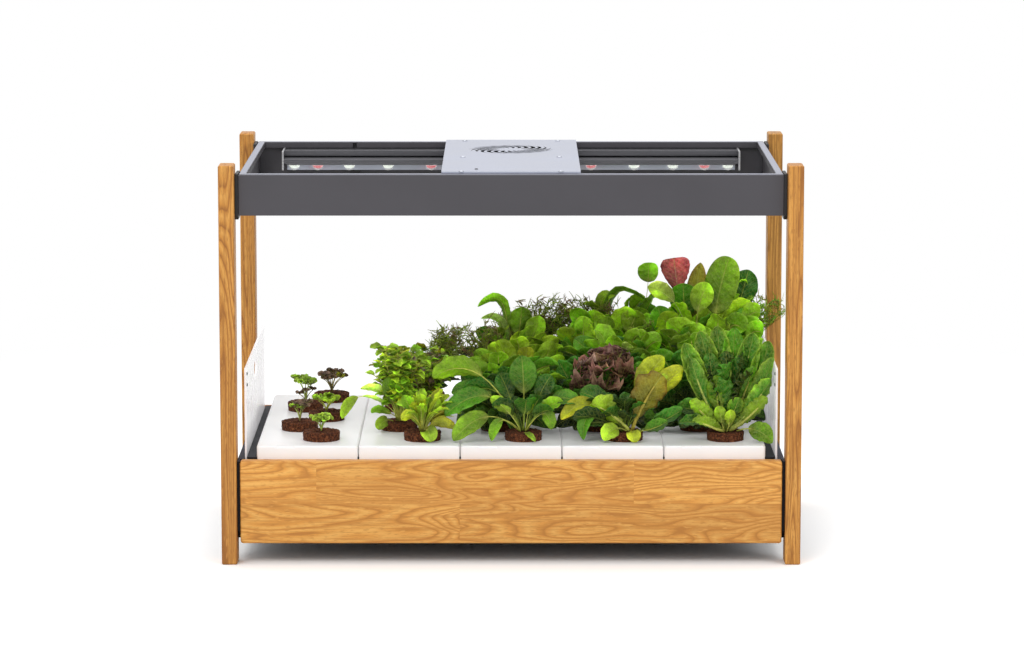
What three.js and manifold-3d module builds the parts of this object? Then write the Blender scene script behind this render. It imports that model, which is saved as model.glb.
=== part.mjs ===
// Countertop hydroponic garden: four oak posts carry a folded steel lamp frame with two
// LED bars and a fan above, and an oak-faced base with a water tank below. Five lift-out
// trays hold twenty-five planted pods. Millimetres, +Z up, front towards -Y, origin on
// the ground at the middle of the garden.

import * as THREE from "three";
import { mergeVertices } from "three/addons/utils/BufferGeometryUtils.js";
import Module from "manifold-3d";

const wasm = await Module();
wasm.setup();

// Whole garden
const overallWidth = 616;
const overallDepth = 374;
const overallHeight = 427;
const seatGap = 0.3;
const cutOverrun = 2;

// Oak posts
const postWidth = 16.5;
const postDepth = 30;
const postEdge = 1.2;

// Oak panels at the front and the back of the base
const panelBottom = 22.6;
const panelHeight = 88.9;
const panelThickness = 14;
const panelSetback = 3;
const panelCorner = 2.5;
const panelEdge = 1.2;

// Folded steel side frames of the base
const sidePlate = 2.9;
const sideSheet = 2;
const sideFrameBottom = 27;
const sideFrameDrop = 0.5;
const sideFrameSetback = 5;
const sideCornerCut = 9;
const sideTopFlange = 6.8;
const sideBottomFlange = 29;
const sideLedgeHeight = 57;
const sideLedgeWidth = 2.7;
const sideSectionSetback = 2;

// White side panels that stand in the side frames
const screenThickness = 2;
const screenEndGap = 10;
const screenTop = 207;
const screenCorner = 5;
const screenClearance = 0.4;
const fingerSlotLength = 44;
const fingerSlotHeight = 17;
const fingerSlotDrop = 23.5;
const ventHole = 5;
const ventHoleSpreadShare = 0.45;
const ventHoleDrops = [17, 34];

// Water tank
const tankRimTop = 113;
const tankRimThickness = 2.5;
const tankWall = 2.5;
const tankRimWidth = 10.4;
const tankFrontRimWidth = 4.4;
const tankDraft = 5;
const tankCorner = 12;
const tankRimCorner = 3;
const tankEndGap = 3.2;

// Planting trays
const trayCount = 5;
const trayRowEndGap = 10.75;
const trayEndGap = 0.6;
const trayTop = 125.4;
const trayPlate = 2.2;
const trayWall = 2;
const traySkirt = 21;
const trayCorner = 3;
const trayEdge = 1.4;
const trayNotchLength = 21;
const trayNotchDepth = 1.6;
const trayNotchHeight = 2.4;
const trayNotchShift = -24;

// Coir plugs and the cups that hold them
const podsPerTray = 5;
const podEndSetback = 41.4;
const podStaggerShare = 0.243;
const plugTopRadius = 20.3;
const plugBottomRadius = 15;
const plugHeight = 59.5;
const plugProud = 9.5;
const cupClearance = 0.4;
const cupWall = 1.8;
const cupFloor = 2.2;
const cupDrainRadius = 9;

// Plants, tray by tray from the left: the height over the plug at the front pod, what each
// pod behind adds, and the plant's half width and half depth as shares of its plot
const plantHeights = [26, 48, 84, 82, 98];
const plantGains = [1, 9, 7, 11, 13];
const plantWidthShares = [0.38, 0.94, 0.97, 0.97, 0.97];
const plantDepthShares = [0.55, 0.9, 0.95, 0.95, 0.95];
const plantDriftShare = 0.8;
const leafLengthSwing = 0.12;
// The plant's rings from its foot to its heart. Leaves stand on every second step of a tier,
// and the next tier's leaves over the gaps: the reach and rise of a leaf, then of a gap
const plantRings = [
  { tier: 0, leafShares: [0.6, 0.25], gapShares: [0.28, 0.12] },
  { tier: 0, leafShares: [1, 0.5], gapShares: [0.4, 0.22] },
  { tier: 0, leafShares: [0.6, 0.42], gapShares: [0.3, 0.26] },
  { tier: 0, leafShares: [0.2, 0.36], gapShares: [0.2, 0.36] },
  { tier: 1, leafShares: [0.46, 0.66], gapShares: [0.26, 0.5] },
  { tier: 1, leafShares: [0.68, 1], gapShares: [0.34, 0.62] },
  { tier: 1, leafShares: [0.16, 0.7], gapShares: [0.16, 0.7] },
];

// Folded steel lamp frame
const frameDrop = 10.2;
const frameHeight = 44;
const frameSetback = 12.5;
const frameSheet = 1.6;
const frameFlange = 8;
const frameLip = 7;
const frameFoldRadius = 1.2;
const cableNotchWidth = 4.5;
const cableNotchSetback = 110;
const inletDrop = 34;

// Brackets between the lamp frame and the posts
const bracketThickness = 3.4;
const bracketLength = 36;
const bracketDrop = 4.6;
const bracketCut = 10;

// Light bars: stepped heat sinks with their end plates
const barEndGap = 31.5;
const barSpineDepth = 21.2;
const barBaseDepth = 44.2;
const barTopDrop = 7.7;
const barSpineHeight = 6;
const barGroove = 1.7;
const barGrooveDepth = 12;
const barBaseHeight = 5.2;
const barRib = 0.8;
const barRibCount = 2;
const barRibStep = 1.9;
const endPlateThickness = 2;
const endPlateBelow = 7.2;

// LED strips
const stripThickness = 1.2;
const stripDepth = 26;
const stripInset = 3;
const domeRadius = 6.2;
const domeHeight = 6.8;
const domeSetback = 8;
const domePlaceShares = [0.148, 0.352, 0.542, 0.713, 0.852, 0.955];

// Fan cover plate with its swirl grille
const coverHalfWidth = 73.6;
const coverThickness = 1.8;
const coverHem = 6.5;
const coverOverhang = 2.5;
const coverCorner = 2;
const swirlSlots = 18;
const swirlInnerRadius = 12.5;
const swirlOuterRadius = 48.5;
const swirlSlotWidth = 7.2;
const swirlTurnDegrees = 62;
const swirlStations = 6;
const swirlFullness = 0.65;
const swirlBelly = 1.5;

// Lamp housing under the cover, with the fan and the control board in it
const housingSheet = 1.5;
const housingInset = 1.2;
const housingHeight = 33;
const housingEndGap = 6;
const housingCorner = 3;

// Fan
const fanSize = 92;
const fanDepth = 25.4;
const fanCorner = 5;
const fanEdge = 1.2;
const fanEndGap = 6.5;
const fanBore = 88;
const fanBladeGap = 1.2;
const fanBlades = 7;
const fanHubRadius = 19;
const fanHubHeight = 18;
const fanHubEdge = 1.2;
const fanBladeThickness = 1.6;
const fanBladeHeight = 13;
const fanBladeSweepDegrees = 34;
const fanBladeSteps = 4;
const fanStrut = 5;
const fanStrutHeight = 3;
const fanStruts = 4;
const fanMotorRadius = 17;
const fanMotorHeight = 3;
const fanHole = 4.3;
const fanHolePitch = 82.5;

// Control board
const boardHalfWidth = 48;
const boardLength = 62;
const boardEndGap = 1.5;
const boardThickness = 1.6;
const boardStandoff = 4;
const boardPartHeight = 14;
const boardPartWidth = 26;
const boardPartLength = 34;
const boardCapRadius = 7;

// Light button
const buttonRadius = 1.8;
const buttonProud = 0.9;
const buttonClearance = 0.3;
const buttonStem = 6.5;
const buttonFlange = 1.2;
const buttonSetback = 29.5;

// Power inlet
const inletRadius = 5.5;
const inletLength = 12;
const inletFlangeRadius = 7.5;
const inletFlange = 1.4;
const inletPinRadius = 3;
const inletBoreDepth = 9;

// Steps of the round forms
const fanSteps = 20;
const podSteps = 12;
const buttonSteps = 12;
const domeSteps = 8;
const cornerSteps = 2;

// Places worked out from the sizes
const halfWidth = overallWidth / 2;
const halfDepth = overallDepth / 2;
const postInner = halfWidth - postWidth;
const sidePlateOuter = postInner - seatGap;
const sidePlateInner = sidePlateOuter - sidePlate;
const panelTop = panelBottom + panelHeight;
const panelInnerY = halfDepth - panelSetback - panelThickness;
const sideFrameTop = panelTop - sideFrameDrop;
const slotOuter = sidePlateOuter - sideTopFlange;
const screenOuter = slotOuter - screenClearance;
const screenInner = screenOuter - screenThickness;
const screenHalfLength = panelInnerY - screenEndGap;
const ventHoleSpread = ventHoleSpreadShare * screenHalfLength;
const ledgeTop = sideFrameBottom + sideLedgeHeight;
const screenBottom = ledgeTop + seatGap;
const tankRimX = screenInner - screenClearance;
const tankRimY = panelInnerY - tankEndGap;
const tankBottom = sideFrameBottom + sideSheet + seatGap;
const trayPitch = (2 * (screenInner - trayRowEndGap)) / trayCount;
const trayHalfLength = panelInnerY - trayEndGap;
const trayWallBottom = tankRimTop + seatGap;
const podPitch = (2 * (trayHalfLength - podEndSetback)) / (podsPerTray - 1);
const podStagger = (podStaggerShare * trayPitch) / 2;
const plugTop = trayTop + plugProud;
const plugBottom = plugTop - plugHeight;
const cupBottom = plugBottom - seatGap - cupFloor;
const frameTop = overallHeight - frameDrop;
const frameBottom = frameTop - frameHeight;
const frameHalfX = postInner - seatGap - bracketThickness - seatGap;
const frameHalfY = halfDepth - frameSetback;
const lipInnerY = frameHalfY - frameFlange;
const inletX = cableNotchSetback - frameHalfX;
const barHalfLength = frameHalfX - barEndGap;
const barTop = frameTop - barTopDrop;
const barBackY = lipInnerY - seatGap;
const barFrontY = barBackY - barBaseDepth;
const spineBottom = barTop - barSpineHeight;
const baseTop = spineBottom - barGroove;
const baseBottom = baseTop - barBaseHeight;
const stripTop = baseBottom - seatGap;
const coverBottom = frameTop + seatGap;
const coverTop = coverBottom + coverThickness;
const housingTop = coverBottom - seatGap;
const housingBottom = housingTop - housingHeight;
const housingFloor = housingBottom + housingSheet;
const housingHalfLength = barFrontY - housingEndGap;
const fanY = housingHalfLength - housingSheet - fanEndGap - fanSize / 2;
const boardY = boardEndGap + boardLength / 2 + housingSheet - housingHalfLength;
const buttonX = -coverHalfWidth / 2;
const buttonY = -housingHalfLength - buttonSetback;
const fanTop = coverBottom - seatGap;
const fanBottom = fanTop - fanDepth;
const bladeTipRadius = fanBore / 2 - fanBladeGap;

// Materials
const oak = paint(0xd69c52, 0.55, 0);
const darkOak = paint(0xbd8443, 0.6, 0);
const darkSteel = paint(0x57585c, 0.5, 0.5);
const blackSteel = paint(0x1e1e20, 0.55, 0.4);
const tankPlastic = paint(0x2c2d30, 0.5, 0);
const whitePlastic = paint(0xf2f2f0, 0.35, 0);
const whiteSheet = paint(0xf0f0f3, 0.4, 0);
const silverSteel = paint(0xc9cdd4, 0.35, 0.6);
const aluminium = paint(0x8e8e93, 0.4, 0.8);
const ledStrip = paint(0xe8ecec, 0.2, 0);
const blackPlastic = paint(0x17171a, 0.5, 0);
const boardGreen = paint(0x1f5a3a, 0.5, 0);
const leafColours = [0x6b9a34, 0x7fb03a, 0x4f9a2c, 0x6f7a34, 0x58a033];

function paint(color, roughness, metalness) {
  return new THREE.MeshStandardMaterial({ color, roughness, metalness });
}

// Solids: joining and cutting closed meshes

function toSolid(geometry) {
  const bare = geometry.clone();
  bare.deleteAttribute("normal");
  bare.deleteAttribute("uv");
  const merged = mergeVertices(bare);
  const vertProperties = new Float32Array(merged.attributes.position.array);
  const triVerts = new Uint32Array(merged.index.array);
  return new wasm.Manifold(new wasm.Mesh({ numProp: 3, vertProperties, triVerts }));
}

function toGeometry(solid) {
  const mesh = solid.getMesh();
  const geometry = new THREE.BufferGeometry();
  geometry.setAttribute("position", new THREE.BufferAttribute(new Float32Array(mesh.vertProperties), 3));
  geometry.setIndex(new THREE.BufferAttribute(new Uint32Array(mesh.triVerts), 1));
  return geometry;
}

function join(geometries) {
  return toGeometry(geometries.map(toSolid).reduce((sum, solid) => sum.add(solid)));
}

function cut(geometry, tools) {
  return toGeometry(tools.map(toSolid).reduce((rest, tool) => rest.subtract(tool), toSolid(geometry)));
}

// Shapes: boxes, round-cornered lofts, extruded sections and outlines

const corners = [[1, 1], [-1, 1], [-1, -1], [1, -1]];

function box(x0, x1, y0, y1, z0, z1) {
  const geometry = new THREE.BoxGeometry(x1 - x0, y1 - y0, z1 - z0);
  return geometry.translate((x0 + x1) / 2, (y0 + y1) / 2, (z0 + z1) / 2);
}

function drum(topRadius, bottomRadius, z0, z1, steps, x = 0, y = 0) {
  const geometry = new THREE.CylinderGeometry(topRadius, bottomRadius, z1 - z0, steps);
  return geometry.rotateX(Math.PI / 2).translate(x, y, (z0 + z1) / 2);
}

function ringPoints({ halfX, halfY, radius, z }) {
  const points = [];
  corners.forEach(([sx, sy], corner) => {
    for (let step = 0; step <= cornerSteps; step += 1) {
      const angle = (corner + step / cornerSteps) * (Math.PI / 2);
      const x = sx * (halfX - radius) + radius * Math.cos(angle);
      const y = sy * (halfY - radius) + radius * Math.sin(angle);
      points.push(x, y, z);
    }
  });
  return points;
}

// A closed skin over rows of points, from the first row's cap to the last one's
function skin(rows) {
  const count = rows[0].length / 3;
  const index = [];
  for (let row = 0; row < rows.length - 1; row += 1) {
    for (let i = 0; i < count; i += 1) {
      const a = row * count + i;
      const b = row * count + ((i + 1) % count);
      index.push(a, b, b + count, a, b + count, a + count);
    }
  }
  const last = (rows.length - 1) * count;
  for (let i = 1; i < count - 1; i += 1) {
    index.push(0, i + 1, i);
    index.push(last, last + i, last + i + 1);
  }
  const geometry = new THREE.BufferGeometry();
  geometry.setAttribute("position", new THREE.Float32BufferAttribute(rows.flat(), 3));
  geometry.setIndex(index);
  return geometry;
}

function ringLoft(rings) {
  return skin(rings.map(ringPoints));
}

// A bar with round corners and softened ends
function softBar(halfX, halfY, radius, edge, z0, z1) {
  const inner = { halfX: halfX - edge, halfY: halfY - edge, radius };
  const outer = { halfX, halfY, radius };
  return ringLoft([
    { ...inner, z: z0 },
    { ...outer, z: z0 + edge },
    { ...outer, z: z1 - edge },
    { ...inner, z: z1 },
  ]);
}

function shapeOf(points) {
  return new THREE.Shape(points.map(([x, y]) => new THREE.Vector2(x, y)));
}

// Runs a section given in (y, z) along X from x0 to x1
function alongX(points, x0, x1) {
  const geometry = new THREE.ExtrudeGeometry(shapeOf(points), { depth: x1 - x0, bevelEnabled: false });
  const turn = new THREE.Matrix4().makeBasis(
    new THREE.Vector3(0, 1, 0),
    new THREE.Vector3(0, 0, 1),
    new THREE.Vector3(1, 0, 0),
  );
  return geometry.applyMatrix4(turn).translate(x0, 0, 0);
}

// Runs a section given in (x, z) along Y, from -halfLength to halfLength
function alongY(points, halfLength) {
  const depth = 2 * halfLength;
  const geometry = new THREE.ExtrudeGeometry(shapeOf(points), { depth, bevelEnabled: false });
  return geometry.rotateX(Math.PI / 2).translate(0, halfLength, 0);
}

function mirroredX(points, side) {
  return points.map(([x, z]) => [side * x, z]);
}

// Posts and oak panels

function postGeometry() {
  return softBar(postWidth / 2, postDepth / 2, postEdge, postEdge, 0, overallHeight);
}

function oakPanelGeometry() {
  const halfX = sidePlateInner - seatGap;
  const board = softBar(halfX, panelHeight / 2, panelCorner, panelEdge, 0, panelThickness);
  return board.rotateX(Math.PI / 2);
}

// Base: side frames, side panels and tank

function sideFrameGeometry(side) {
  const plateY = halfDepth - sideFrameSetback;
  const plate = alongX(
    [
      [-plateY, sideFrameBottom + sideCornerCut],
      [-plateY + sideCornerCut, sideFrameBottom],
      [plateY - sideCornerCut, sideFrameBottom],
      [plateY, sideFrameBottom + sideCornerCut],
      [plateY, sideFrameTop],
      [-plateY, sideFrameTop],
    ],
    Math.min(side * sidePlateOuter, side * sidePlateInner),
    Math.max(side * sidePlateOuter, side * sidePlateInner),
  );
  const wall = sidePlateOuter;
  const flangeEnd = wall - sideBottomFlange;
  const ledgeEnd = slotOuter - sideLedgeWidth;
  const section = [
    [flangeEnd, sideFrameBottom],
    [wall, sideFrameBottom],
    [wall, sideFrameTop],
    [slotOuter, sideFrameTop],
    [slotOuter, ledgeTop],
    [ledgeEnd, ledgeTop],
    [ledgeEnd, ledgeTop - sideSheet],
    [slotOuter + sideSheet, ledgeTop - sideSheet],
    [slotOuter + sideSheet, sideFrameTop - sideSheet],
    [sidePlateInner, sideFrameTop - sideSheet],
    [sidePlateInner, sideFrameBottom + sideSheet],
    [flangeEnd, sideFrameBottom + sideSheet],
  ];
  return join([plate, alongY(mirroredX(section, side), panelInnerY - sideSectionSetback)]);
}

function slotOutline(halfLength, halfHeight, z) {
  const path = new THREE.Path();
  const reach = halfLength - halfHeight;
  path.absarc(reach, z, halfHeight, -Math.PI / 2, Math.PI / 2, false);
  path.absarc(-reach, z, halfHeight, Math.PI / 2, (3 * Math.PI) / 2, false);
  path.closePath();
  return path;
}

function roundHole(x, y, radius, steps) {
  const points = [];
  for (let step = 0; step < steps; step += 1) {
    const angle = (-step / steps) * 2 * Math.PI;
    points.push(new THREE.Vector2(x + radius * Math.cos(angle), y + radius * Math.sin(angle)));
  }
  return new THREE.Path(points);
}

function sideScreenGeometry(side) {
  const shape = new THREE.Shape();
  const r = screenCorner;
  const reach = screenHalfLength;
  shape.moveTo(-reach, screenBottom);
  shape.lineTo(reach, screenBottom);
  shape.lineTo(reach, screenTop - r);
  shape.absarc(reach - r, screenTop - r, r, 0, Math.PI / 2, false);
  shape.absarc(-reach + r, screenTop - r, r, Math.PI / 2, Math.PI, false);
  shape.closePath();
  shape.holes.push(slotOutline(fingerSlotLength / 2, fingerSlotHeight / 2, screenTop - fingerSlotDrop));
  ventHoleDrops.forEach((drop) => {
    [-ventHoleSpread, ventHoleSpread].forEach((y) => {
      shape.holes.push(roundHole(y, screenTop - drop, ventHole / 2, domeSteps));
    });
  });
  const geometry = new THREE.ExtrudeGeometry(shape, {
    depth: screenThickness,
    bevelEnabled: false,
    curveSegments: podSteps / 2,
  });
  const turn = new THREE.Matrix4().makeBasis(
    new THREE.Vector3(0, 1, 0),
    new THREE.Vector3(0, 0, 1),
    new THREE.Vector3(1, 0, 0),
  );
  const x = side > 0 ? screenInner : -screenOuter;
  return geometry.applyMatrix4(turn).translate(x, 0, 0);
}

function tankGeometry() {
  const rim = { halfX: tankRimX, halfY: tankRimY, radius: tankRimCorner };
  const outer = { halfX: tankRimX - tankRimWidth, halfY: tankRimY - tankFrontRimWidth, radius: tankCorner };
  const inner = shrink(outer, tankWall);
  return ringLoft([
    { ...shrink(outer, tankDraft), z: tankBottom },
    { ...outer, z: tankRimTop - tankRimThickness },
    { ...rim, z: tankRimTop - tankRimThickness },
    { ...rim, z: tankRimTop },
    { ...inner, z: tankRimTop },
    { ...shrink(inner, tankDraft), z: tankBottom + tankWall },
  ]);
}

function shrink({ halfX, halfY, radius }, amount) {
  return { halfX: halfX - amount, halfY: halfY - amount, radius: radius - amount / 2 };
}

// Trays

function podPlaces() {
  const places = [];
  for (let pod = 0; pod < podsPerTray; pod += 1) {
    const y = (pod - (podsPerTray - 1) / 2) * podPitch;
    const x = pod % 2 === 0 ? podStagger : -podStagger;
    places.push([x, y]);
  }
  return places;
}

function plugRadiusAt(z) {
  const share = (z - plugBottom) / plugHeight;
  return plugBottomRadius + share * (plugTopRadius - plugBottomRadius);
}

function cupShell([x, y]) {
  const top = trayTop - trayPlate;
  const grow = cupClearance + cupWall;
  const topRadius = plugRadiusAt(top) + grow;
  const bottomRadius = plugRadiusAt(cupBottom) + grow;
  return drum(topRadius, bottomRadius, cupBottom, top + trayPlate / 2, podSteps, x, y);
}

function cupBore([x, y]) {
  const floor = cupBottom + cupFloor;
  const top = trayTop + cutOverrun;
  const topRadius = plugRadiusAt(top) + cupClearance;
  const bottomRadius = plugRadiusAt(floor) + cupClearance;
  return drum(topRadius, bottomRadius, floor, top, podSteps, x, y);
}

function cupDrain([x, y]) {
  return drum(cupDrainRadius, cupDrainRadius, cupBottom - cutOverrun, plugBottom, podSteps, x, y);
}

function trayGeometry() {
  const halfX = trayPitch / 2 - seatGap;
  const bottom = trayTop - traySkirt;
  const outer = { halfX, halfY: trayHalfLength, radius: trayCorner };
  const edge = { halfX: halfX - trayEdge, halfY: trayHalfLength - trayEdge, radius: trayCorner };
  const inner = { halfX: halfX - trayWall, halfY: trayHalfLength - trayWall, radius: trayCorner / 2 };
  const shell = ringLoft([
    { ...outer, z: bottom },
    { ...outer, z: trayTop - trayEdge },
    { ...edge, z: trayTop },
  ]);
  const hollow = ringLoft([
    { ...inner, z: bottom - cutOverrun },
    { ...inner, z: trayTop - trayPlate },
  ]);
  const wallReach = halfX + cutOverrun;
  const sideRelief = box(
    -wallReach,
    wallReach,
    -trayHalfLength + trayWall,
    trayHalfLength - trayWall,
    bottom - cutOverrun,
    trayWallBottom,
  );
  const notch = box(
    trayNotchShift - trayNotchLength / 2,
    trayNotchShift + trayNotchLength / 2,
    -trayHalfLength - cutOverrun,
    -trayHalfLength + trayNotchDepth,
    trayTop - trayNotchHeight,
    trayTop + cutOverrun,
  );
  const places = podPlaces();
  const body = join([cut(shell, [hollow, sideRelief, notch]), ...places.map(cupShell)]);
  return cut(body, [...places.map(cupBore), ...places.map(cupDrain)]);
}

// Pods: a tapered coir plug and its plant, which keeps inside its own plot of the tray

function plugRing(radius, z) {
  const row = [];
  for (let step = 0; step < podSteps; step += 1) {
    const angle = (step / podSteps) * 2 * Math.PI;
    row.push(radius * Math.cos(angle), radius * Math.sin(angle), z);
  }
  return row;
}

// One ring of the plant, which drifts from the plug at x towards the middle of the tray
function plantRing(tray, pod, x, { tier, leafShares, gapShares }) {
  const height = plantHeights[tray] + plantGains[tray] * pod;
  const drift = -x * plantDriftShare * plantWidthShares[tray];
  const halfY = (podPitch / 2) * plantDepthShares[tray];
  const row = [];
  for (let step = 0; step < podSteps; step += 1) {
    const angle = (step / podSteps) * 2 * Math.PI;
    const [reach, rise] = (step + tier + pod) % 2 === 0 ? leafShares : gapShares;
    const out = reach * (1 - leafLengthSwing * Math.cos(angle + pod) ** 2);
    const shift = drift * rise;
    const halfX = (trayPitch / 2 - seatGap - Math.abs(x + shift)) * plantWidthShares[tray];
    const plantX = shift + out * halfX * Math.cos(angle);
    row.push(plantX, out * halfY * Math.sin(angle), plugTop + rise * height);
  }
  return row;
}

function podGeometry(tray, pod, x) {
  const plug = [plugRing(plugBottomRadius, plugBottom), plugRing(plugTopRadius, plugTop)];
  return skin([...plug, ...plantRings.map((ring) => plantRing(tray, pod, x, ring))]);
}

// Lamp frame

function railSection() {
  const r = frameFoldRadius;
  return [
    [0, frameBottom],
    [frameFlange, frameBottom],
    [frameFlange, frameBottom + frameSheet],
    [frameSheet, frameBottom + frameSheet],
    [frameSheet, frameTop - frameSheet],
    [frameFlange - frameSheet, frameTop - frameSheet],
    [frameFlange - frameSheet, frameTop - frameLip],
    [frameFlange, frameTop - frameLip],
    [frameFlange, frameTop - r / 2],
    [frameFlange - r / 2, frameTop],
    [r, frameTop],
    [0, frameTop - r],
  ];
}

// A folded rail along X at y = -offset, with its ends mitred to meet its neighbours
function railGeometry(halfLength, offset) {
  const geometry = new THREE.ExtrudeGeometry(shapeOf(railSection()), { depth: 1, bevelEnabled: false });
  const position = geometry.attributes.position;
  for (let i = 0; i < position.count; i += 1) {
    const inward = position.getX(i);
    const z = position.getY(i);
    const end = Math.sign(position.getZ(i) - 1 / 2);
    position.setXYZ(i, end * (halfLength - inward - seatGap / 2), inward - offset, z);
  }
  return geometry;
}

function rearRailGeometry() {
  const notch = box(
    inletX - cableNotchWidth / 2,
    inletX + cableNotchWidth / 2,
    lipInnerY - cutOverrun,
    lipInnerY + frameSheet + cutOverrun,
    frameTop - frameLip - cutOverrun,
    frameTop - frameSheet,
  );
  const inside = frameHalfY - frameSheet - cutOverrun;
  const hole = inletDrum(inletRadius + seatGap, inside, frameHalfY + cutOverrun);
  return cut(railGeometry(frameHalfX, frameHalfY).rotateZ(Math.PI), [notch, hole]);
}

function bracketGeometry(sideX, sideY) {
  const front = sideY * frameHalfY;
  const back = sideY * (frameHalfY - bracketLength);
  const bottom = frameBottom - bracketDrop;
  const x0 = sideX * (frameHalfX + seatGap);
  const x1 = sideX * (frameHalfX + seatGap + bracketThickness);
  const outline = [
    [front, frameTop],
    [back, frameTop],
    [back, bottom + bracketCut],
    [back + sideY * bracketCut, bottom],
    [front - sideY * bracketDrop, bottom],
    [front, frameBottom],
  ];
  return alongX(outline, Math.min(x0, x1), Math.max(x0, x1));
}

// Light bars

function barSection() {
  const back = barBackY;
  const spine = back - barSpineDepth;
  const front = barFrontY;
  const ribs = [];
  for (let rib = 0; rib < barRibCount; rib += 1) {
    const z = baseTop - (rib + 1) * barRibStep;
    ribs.push([front, z], [front + barRib, z], [front + barRib, z - barRib], [front, z - barRib]);
  }
  return [
    [back, baseBottom],
    [back, barTop],
    [spine, barTop],
    [spine, spineBottom],
    [spine + barGrooveDepth, spineBottom],
    [spine + barGrooveDepth, baseTop],
    [front, baseTop],
    ...ribs,
    [front, baseBottom],
  ];
}

// The heat sink with the plates that close its ends, at the back of the frame
function lightBarGeometry() {
  const bottom = baseBottom - endPlateBelow;
  const top = frameTop - frameLip + seatGap;
  const plates = [-1, 1].map((side) => {
    const x = side * barHalfLength;
    const low = Math.min(x, x + side * endPlateThickness);
    return box(low, low + endPlateThickness, barFrontY - barRib, barBackY, bottom, top);
  });
  return join([alongX(barSection(), -barHalfLength, barHalfLength), ...plates]);
}

// The strip under a bar, with a row of clear domes under its LEDs
function ledStripGeometry() {
  const front = barFrontY + stripInset;
  const bottom = stripTop - stripThickness;
  const reach = barHalfLength - stripInset;
  const board = box(-reach, reach, front, front + stripDepth, bottom, stripTop);
  const places = domePlaceShares.flatMap((share) => [-share * barHalfLength, share * barHalfLength]);
  const domes = places.map((x) => domeGeometry(x, front + domeSetback, bottom));
  return join([board, ...domes]);
}

function domeGeometry(x, y, top) {
  const points = [
    new THREE.Vector2(0, top - domeHeight),
    new THREE.Vector2(domeRadius * Math.SQRT1_2, top - domeHeight * Math.SQRT1_2),
    new THREE.Vector2(domeRadius, top),
    new THREE.Vector2(domeRadius, top + stripThickness / 2),
    new THREE.Vector2(0, top + stripThickness / 2),
  ];
  return new THREE.LatheGeometry(points, domeSteps).rotateX(Math.PI / 2).translate(x, y, 0);
}

// Fan cover plate: each grille slot is a leaf bent along an arc that turns as it runs out

function swirlPoint(radius, angle) {
  return new THREE.Vector2(radius * Math.cos(angle), fanY + radius * Math.sin(angle));
}

function swirlSlot(slot) {
  const start = (slot / swirlSlots) * 2 * Math.PI;
  const turn = THREE.MathUtils.degToRad(swirlTurnDegrees);
  const lead = [];
  const trail = [];
  for (let station = 0; station <= swirlStations; station += 1) {
    const share = station / swirlStations;
    const radius = THREE.MathUtils.lerp(swirlInnerRadius, swirlOuterRadius, share);
    const angle = start + turn * share * share;
    const belly = Math.sin(Math.PI * share ** swirlBelly) ** swirlFullness;
    const halfAngle = ((swirlSlotWidth / 2) * belly) / radius;
    lead.push(swirlPoint(radius, angle + halfAngle));
    if (station > 0 && station < swirlStations) {
      trail.unshift(swirlPoint(radius, angle - halfAngle));
    }
  }
  return new THREE.Path([...lead, ...trail]);
}

function coverGeometry() {
  const reachY = lipInnerY + coverOverhang - seatGap;
  const shape = new THREE.Shape();
  const r = coverCorner;
  shape.absarc(coverHalfWidth - r, reachY - r, r, 0, Math.PI / 2, false);
  shape.absarc(-coverHalfWidth + r, reachY - r, r, Math.PI / 2, Math.PI, false);
  shape.absarc(-coverHalfWidth + r, -reachY + r, r, Math.PI, (3 * Math.PI) / 2, false);
  shape.absarc(coverHalfWidth - r, -reachY + r, r, (3 * Math.PI) / 2, 2 * Math.PI, false);
  shape.closePath();
  for (let slot = 0; slot < swirlSlots; slot += 1) {
    shape.holes.push(swirlSlot(slot));
  }
  shape.holes.push(roundHole(buttonX, buttonY, buttonRadius + buttonClearance, buttonSteps));
  const options = { depth: coverThickness, bevelEnabled: false, curveSegments: cornerSteps };
  const plate = new THREE.ExtrudeGeometry(shape, options).translate(0, 0, coverBottom);
  const hemReach = lipInnerY - cutOverrun;
  const hemTop = coverBottom + coverThickness / 2;
  const hems = [-1, 1].map((side) => {
    const x = side > 0 ? coverHalfWidth - coverThickness : -coverHalfWidth;
    return box(x, x + coverThickness, -hemReach, hemReach, coverBottom - coverHem, hemTop);
  });
  return join([plate, ...hems]);
}

// Lamp housing, fan, board, button and inlet

function housingGeometry() {
  const halfX = coverHalfWidth - coverThickness - housingInset;
  const outer = { halfX, halfY: housingHalfLength, radius: housingCorner };
  const inner = shrink(outer, housingSheet);
  const tray = ringLoft([
    { ...outer, z: housingBottom },
    { ...outer, z: housingTop },
    { ...inner, z: housingTop },
    { ...inner, z: housingFloor },
  ]);
  const bottom = housingBottom - cutOverrun;
  const intake = drum(fanBore / 2, fanBore / 2, bottom, housingFloor + cutOverrun, fanSteps, 0, fanY);
  return cut(tray, [intake]);
}

function fanFrameGeometry() {
  const half = fanSize / 2;
  const under = fanBottom - cutOverrun;
  const over = fanTop + cutOverrun;
  const body = softBar(half, half, fanCorner, fanEdge, fanBottom, fanTop).translate(0, fanY, 0);
  const bore = drum(fanBore / 2, fanBore / 2, under, over, fanSteps, 0, fanY);
  const holes = corners.map(([sx, sy]) => {
    const x = (sx * fanHolePitch) / 2;
    const y = fanY + (sy * fanHolePitch) / 2;
    return drum(fanHole / 2, fanHole / 2, under, over, domeSteps, x, y);
  });
  const ring = cut(body, [bore, ...holes]);
  const struts = [];
  for (let strut = 0; strut < fanStruts; strut += 1) {
    const reach = fanBore / 2 + fanBladeGap;
    const bar = box(0, reach, -fanStrut / 2, fanStrut / 2, fanBottom, fanBottom + fanStrutHeight);
    struts.push(bar.rotateZ(((strut + 0.5) / fanStruts) * 2 * Math.PI).translate(0, fanY, 0));
  }
  const motorTop = fanBottom + fanMotorHeight;
  const motor = drum(fanMotorRadius, fanMotorRadius, fanBottom, motorTop, podSteps, 0, fanY);
  return join([ring, motor, ...struts]);
}

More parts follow.
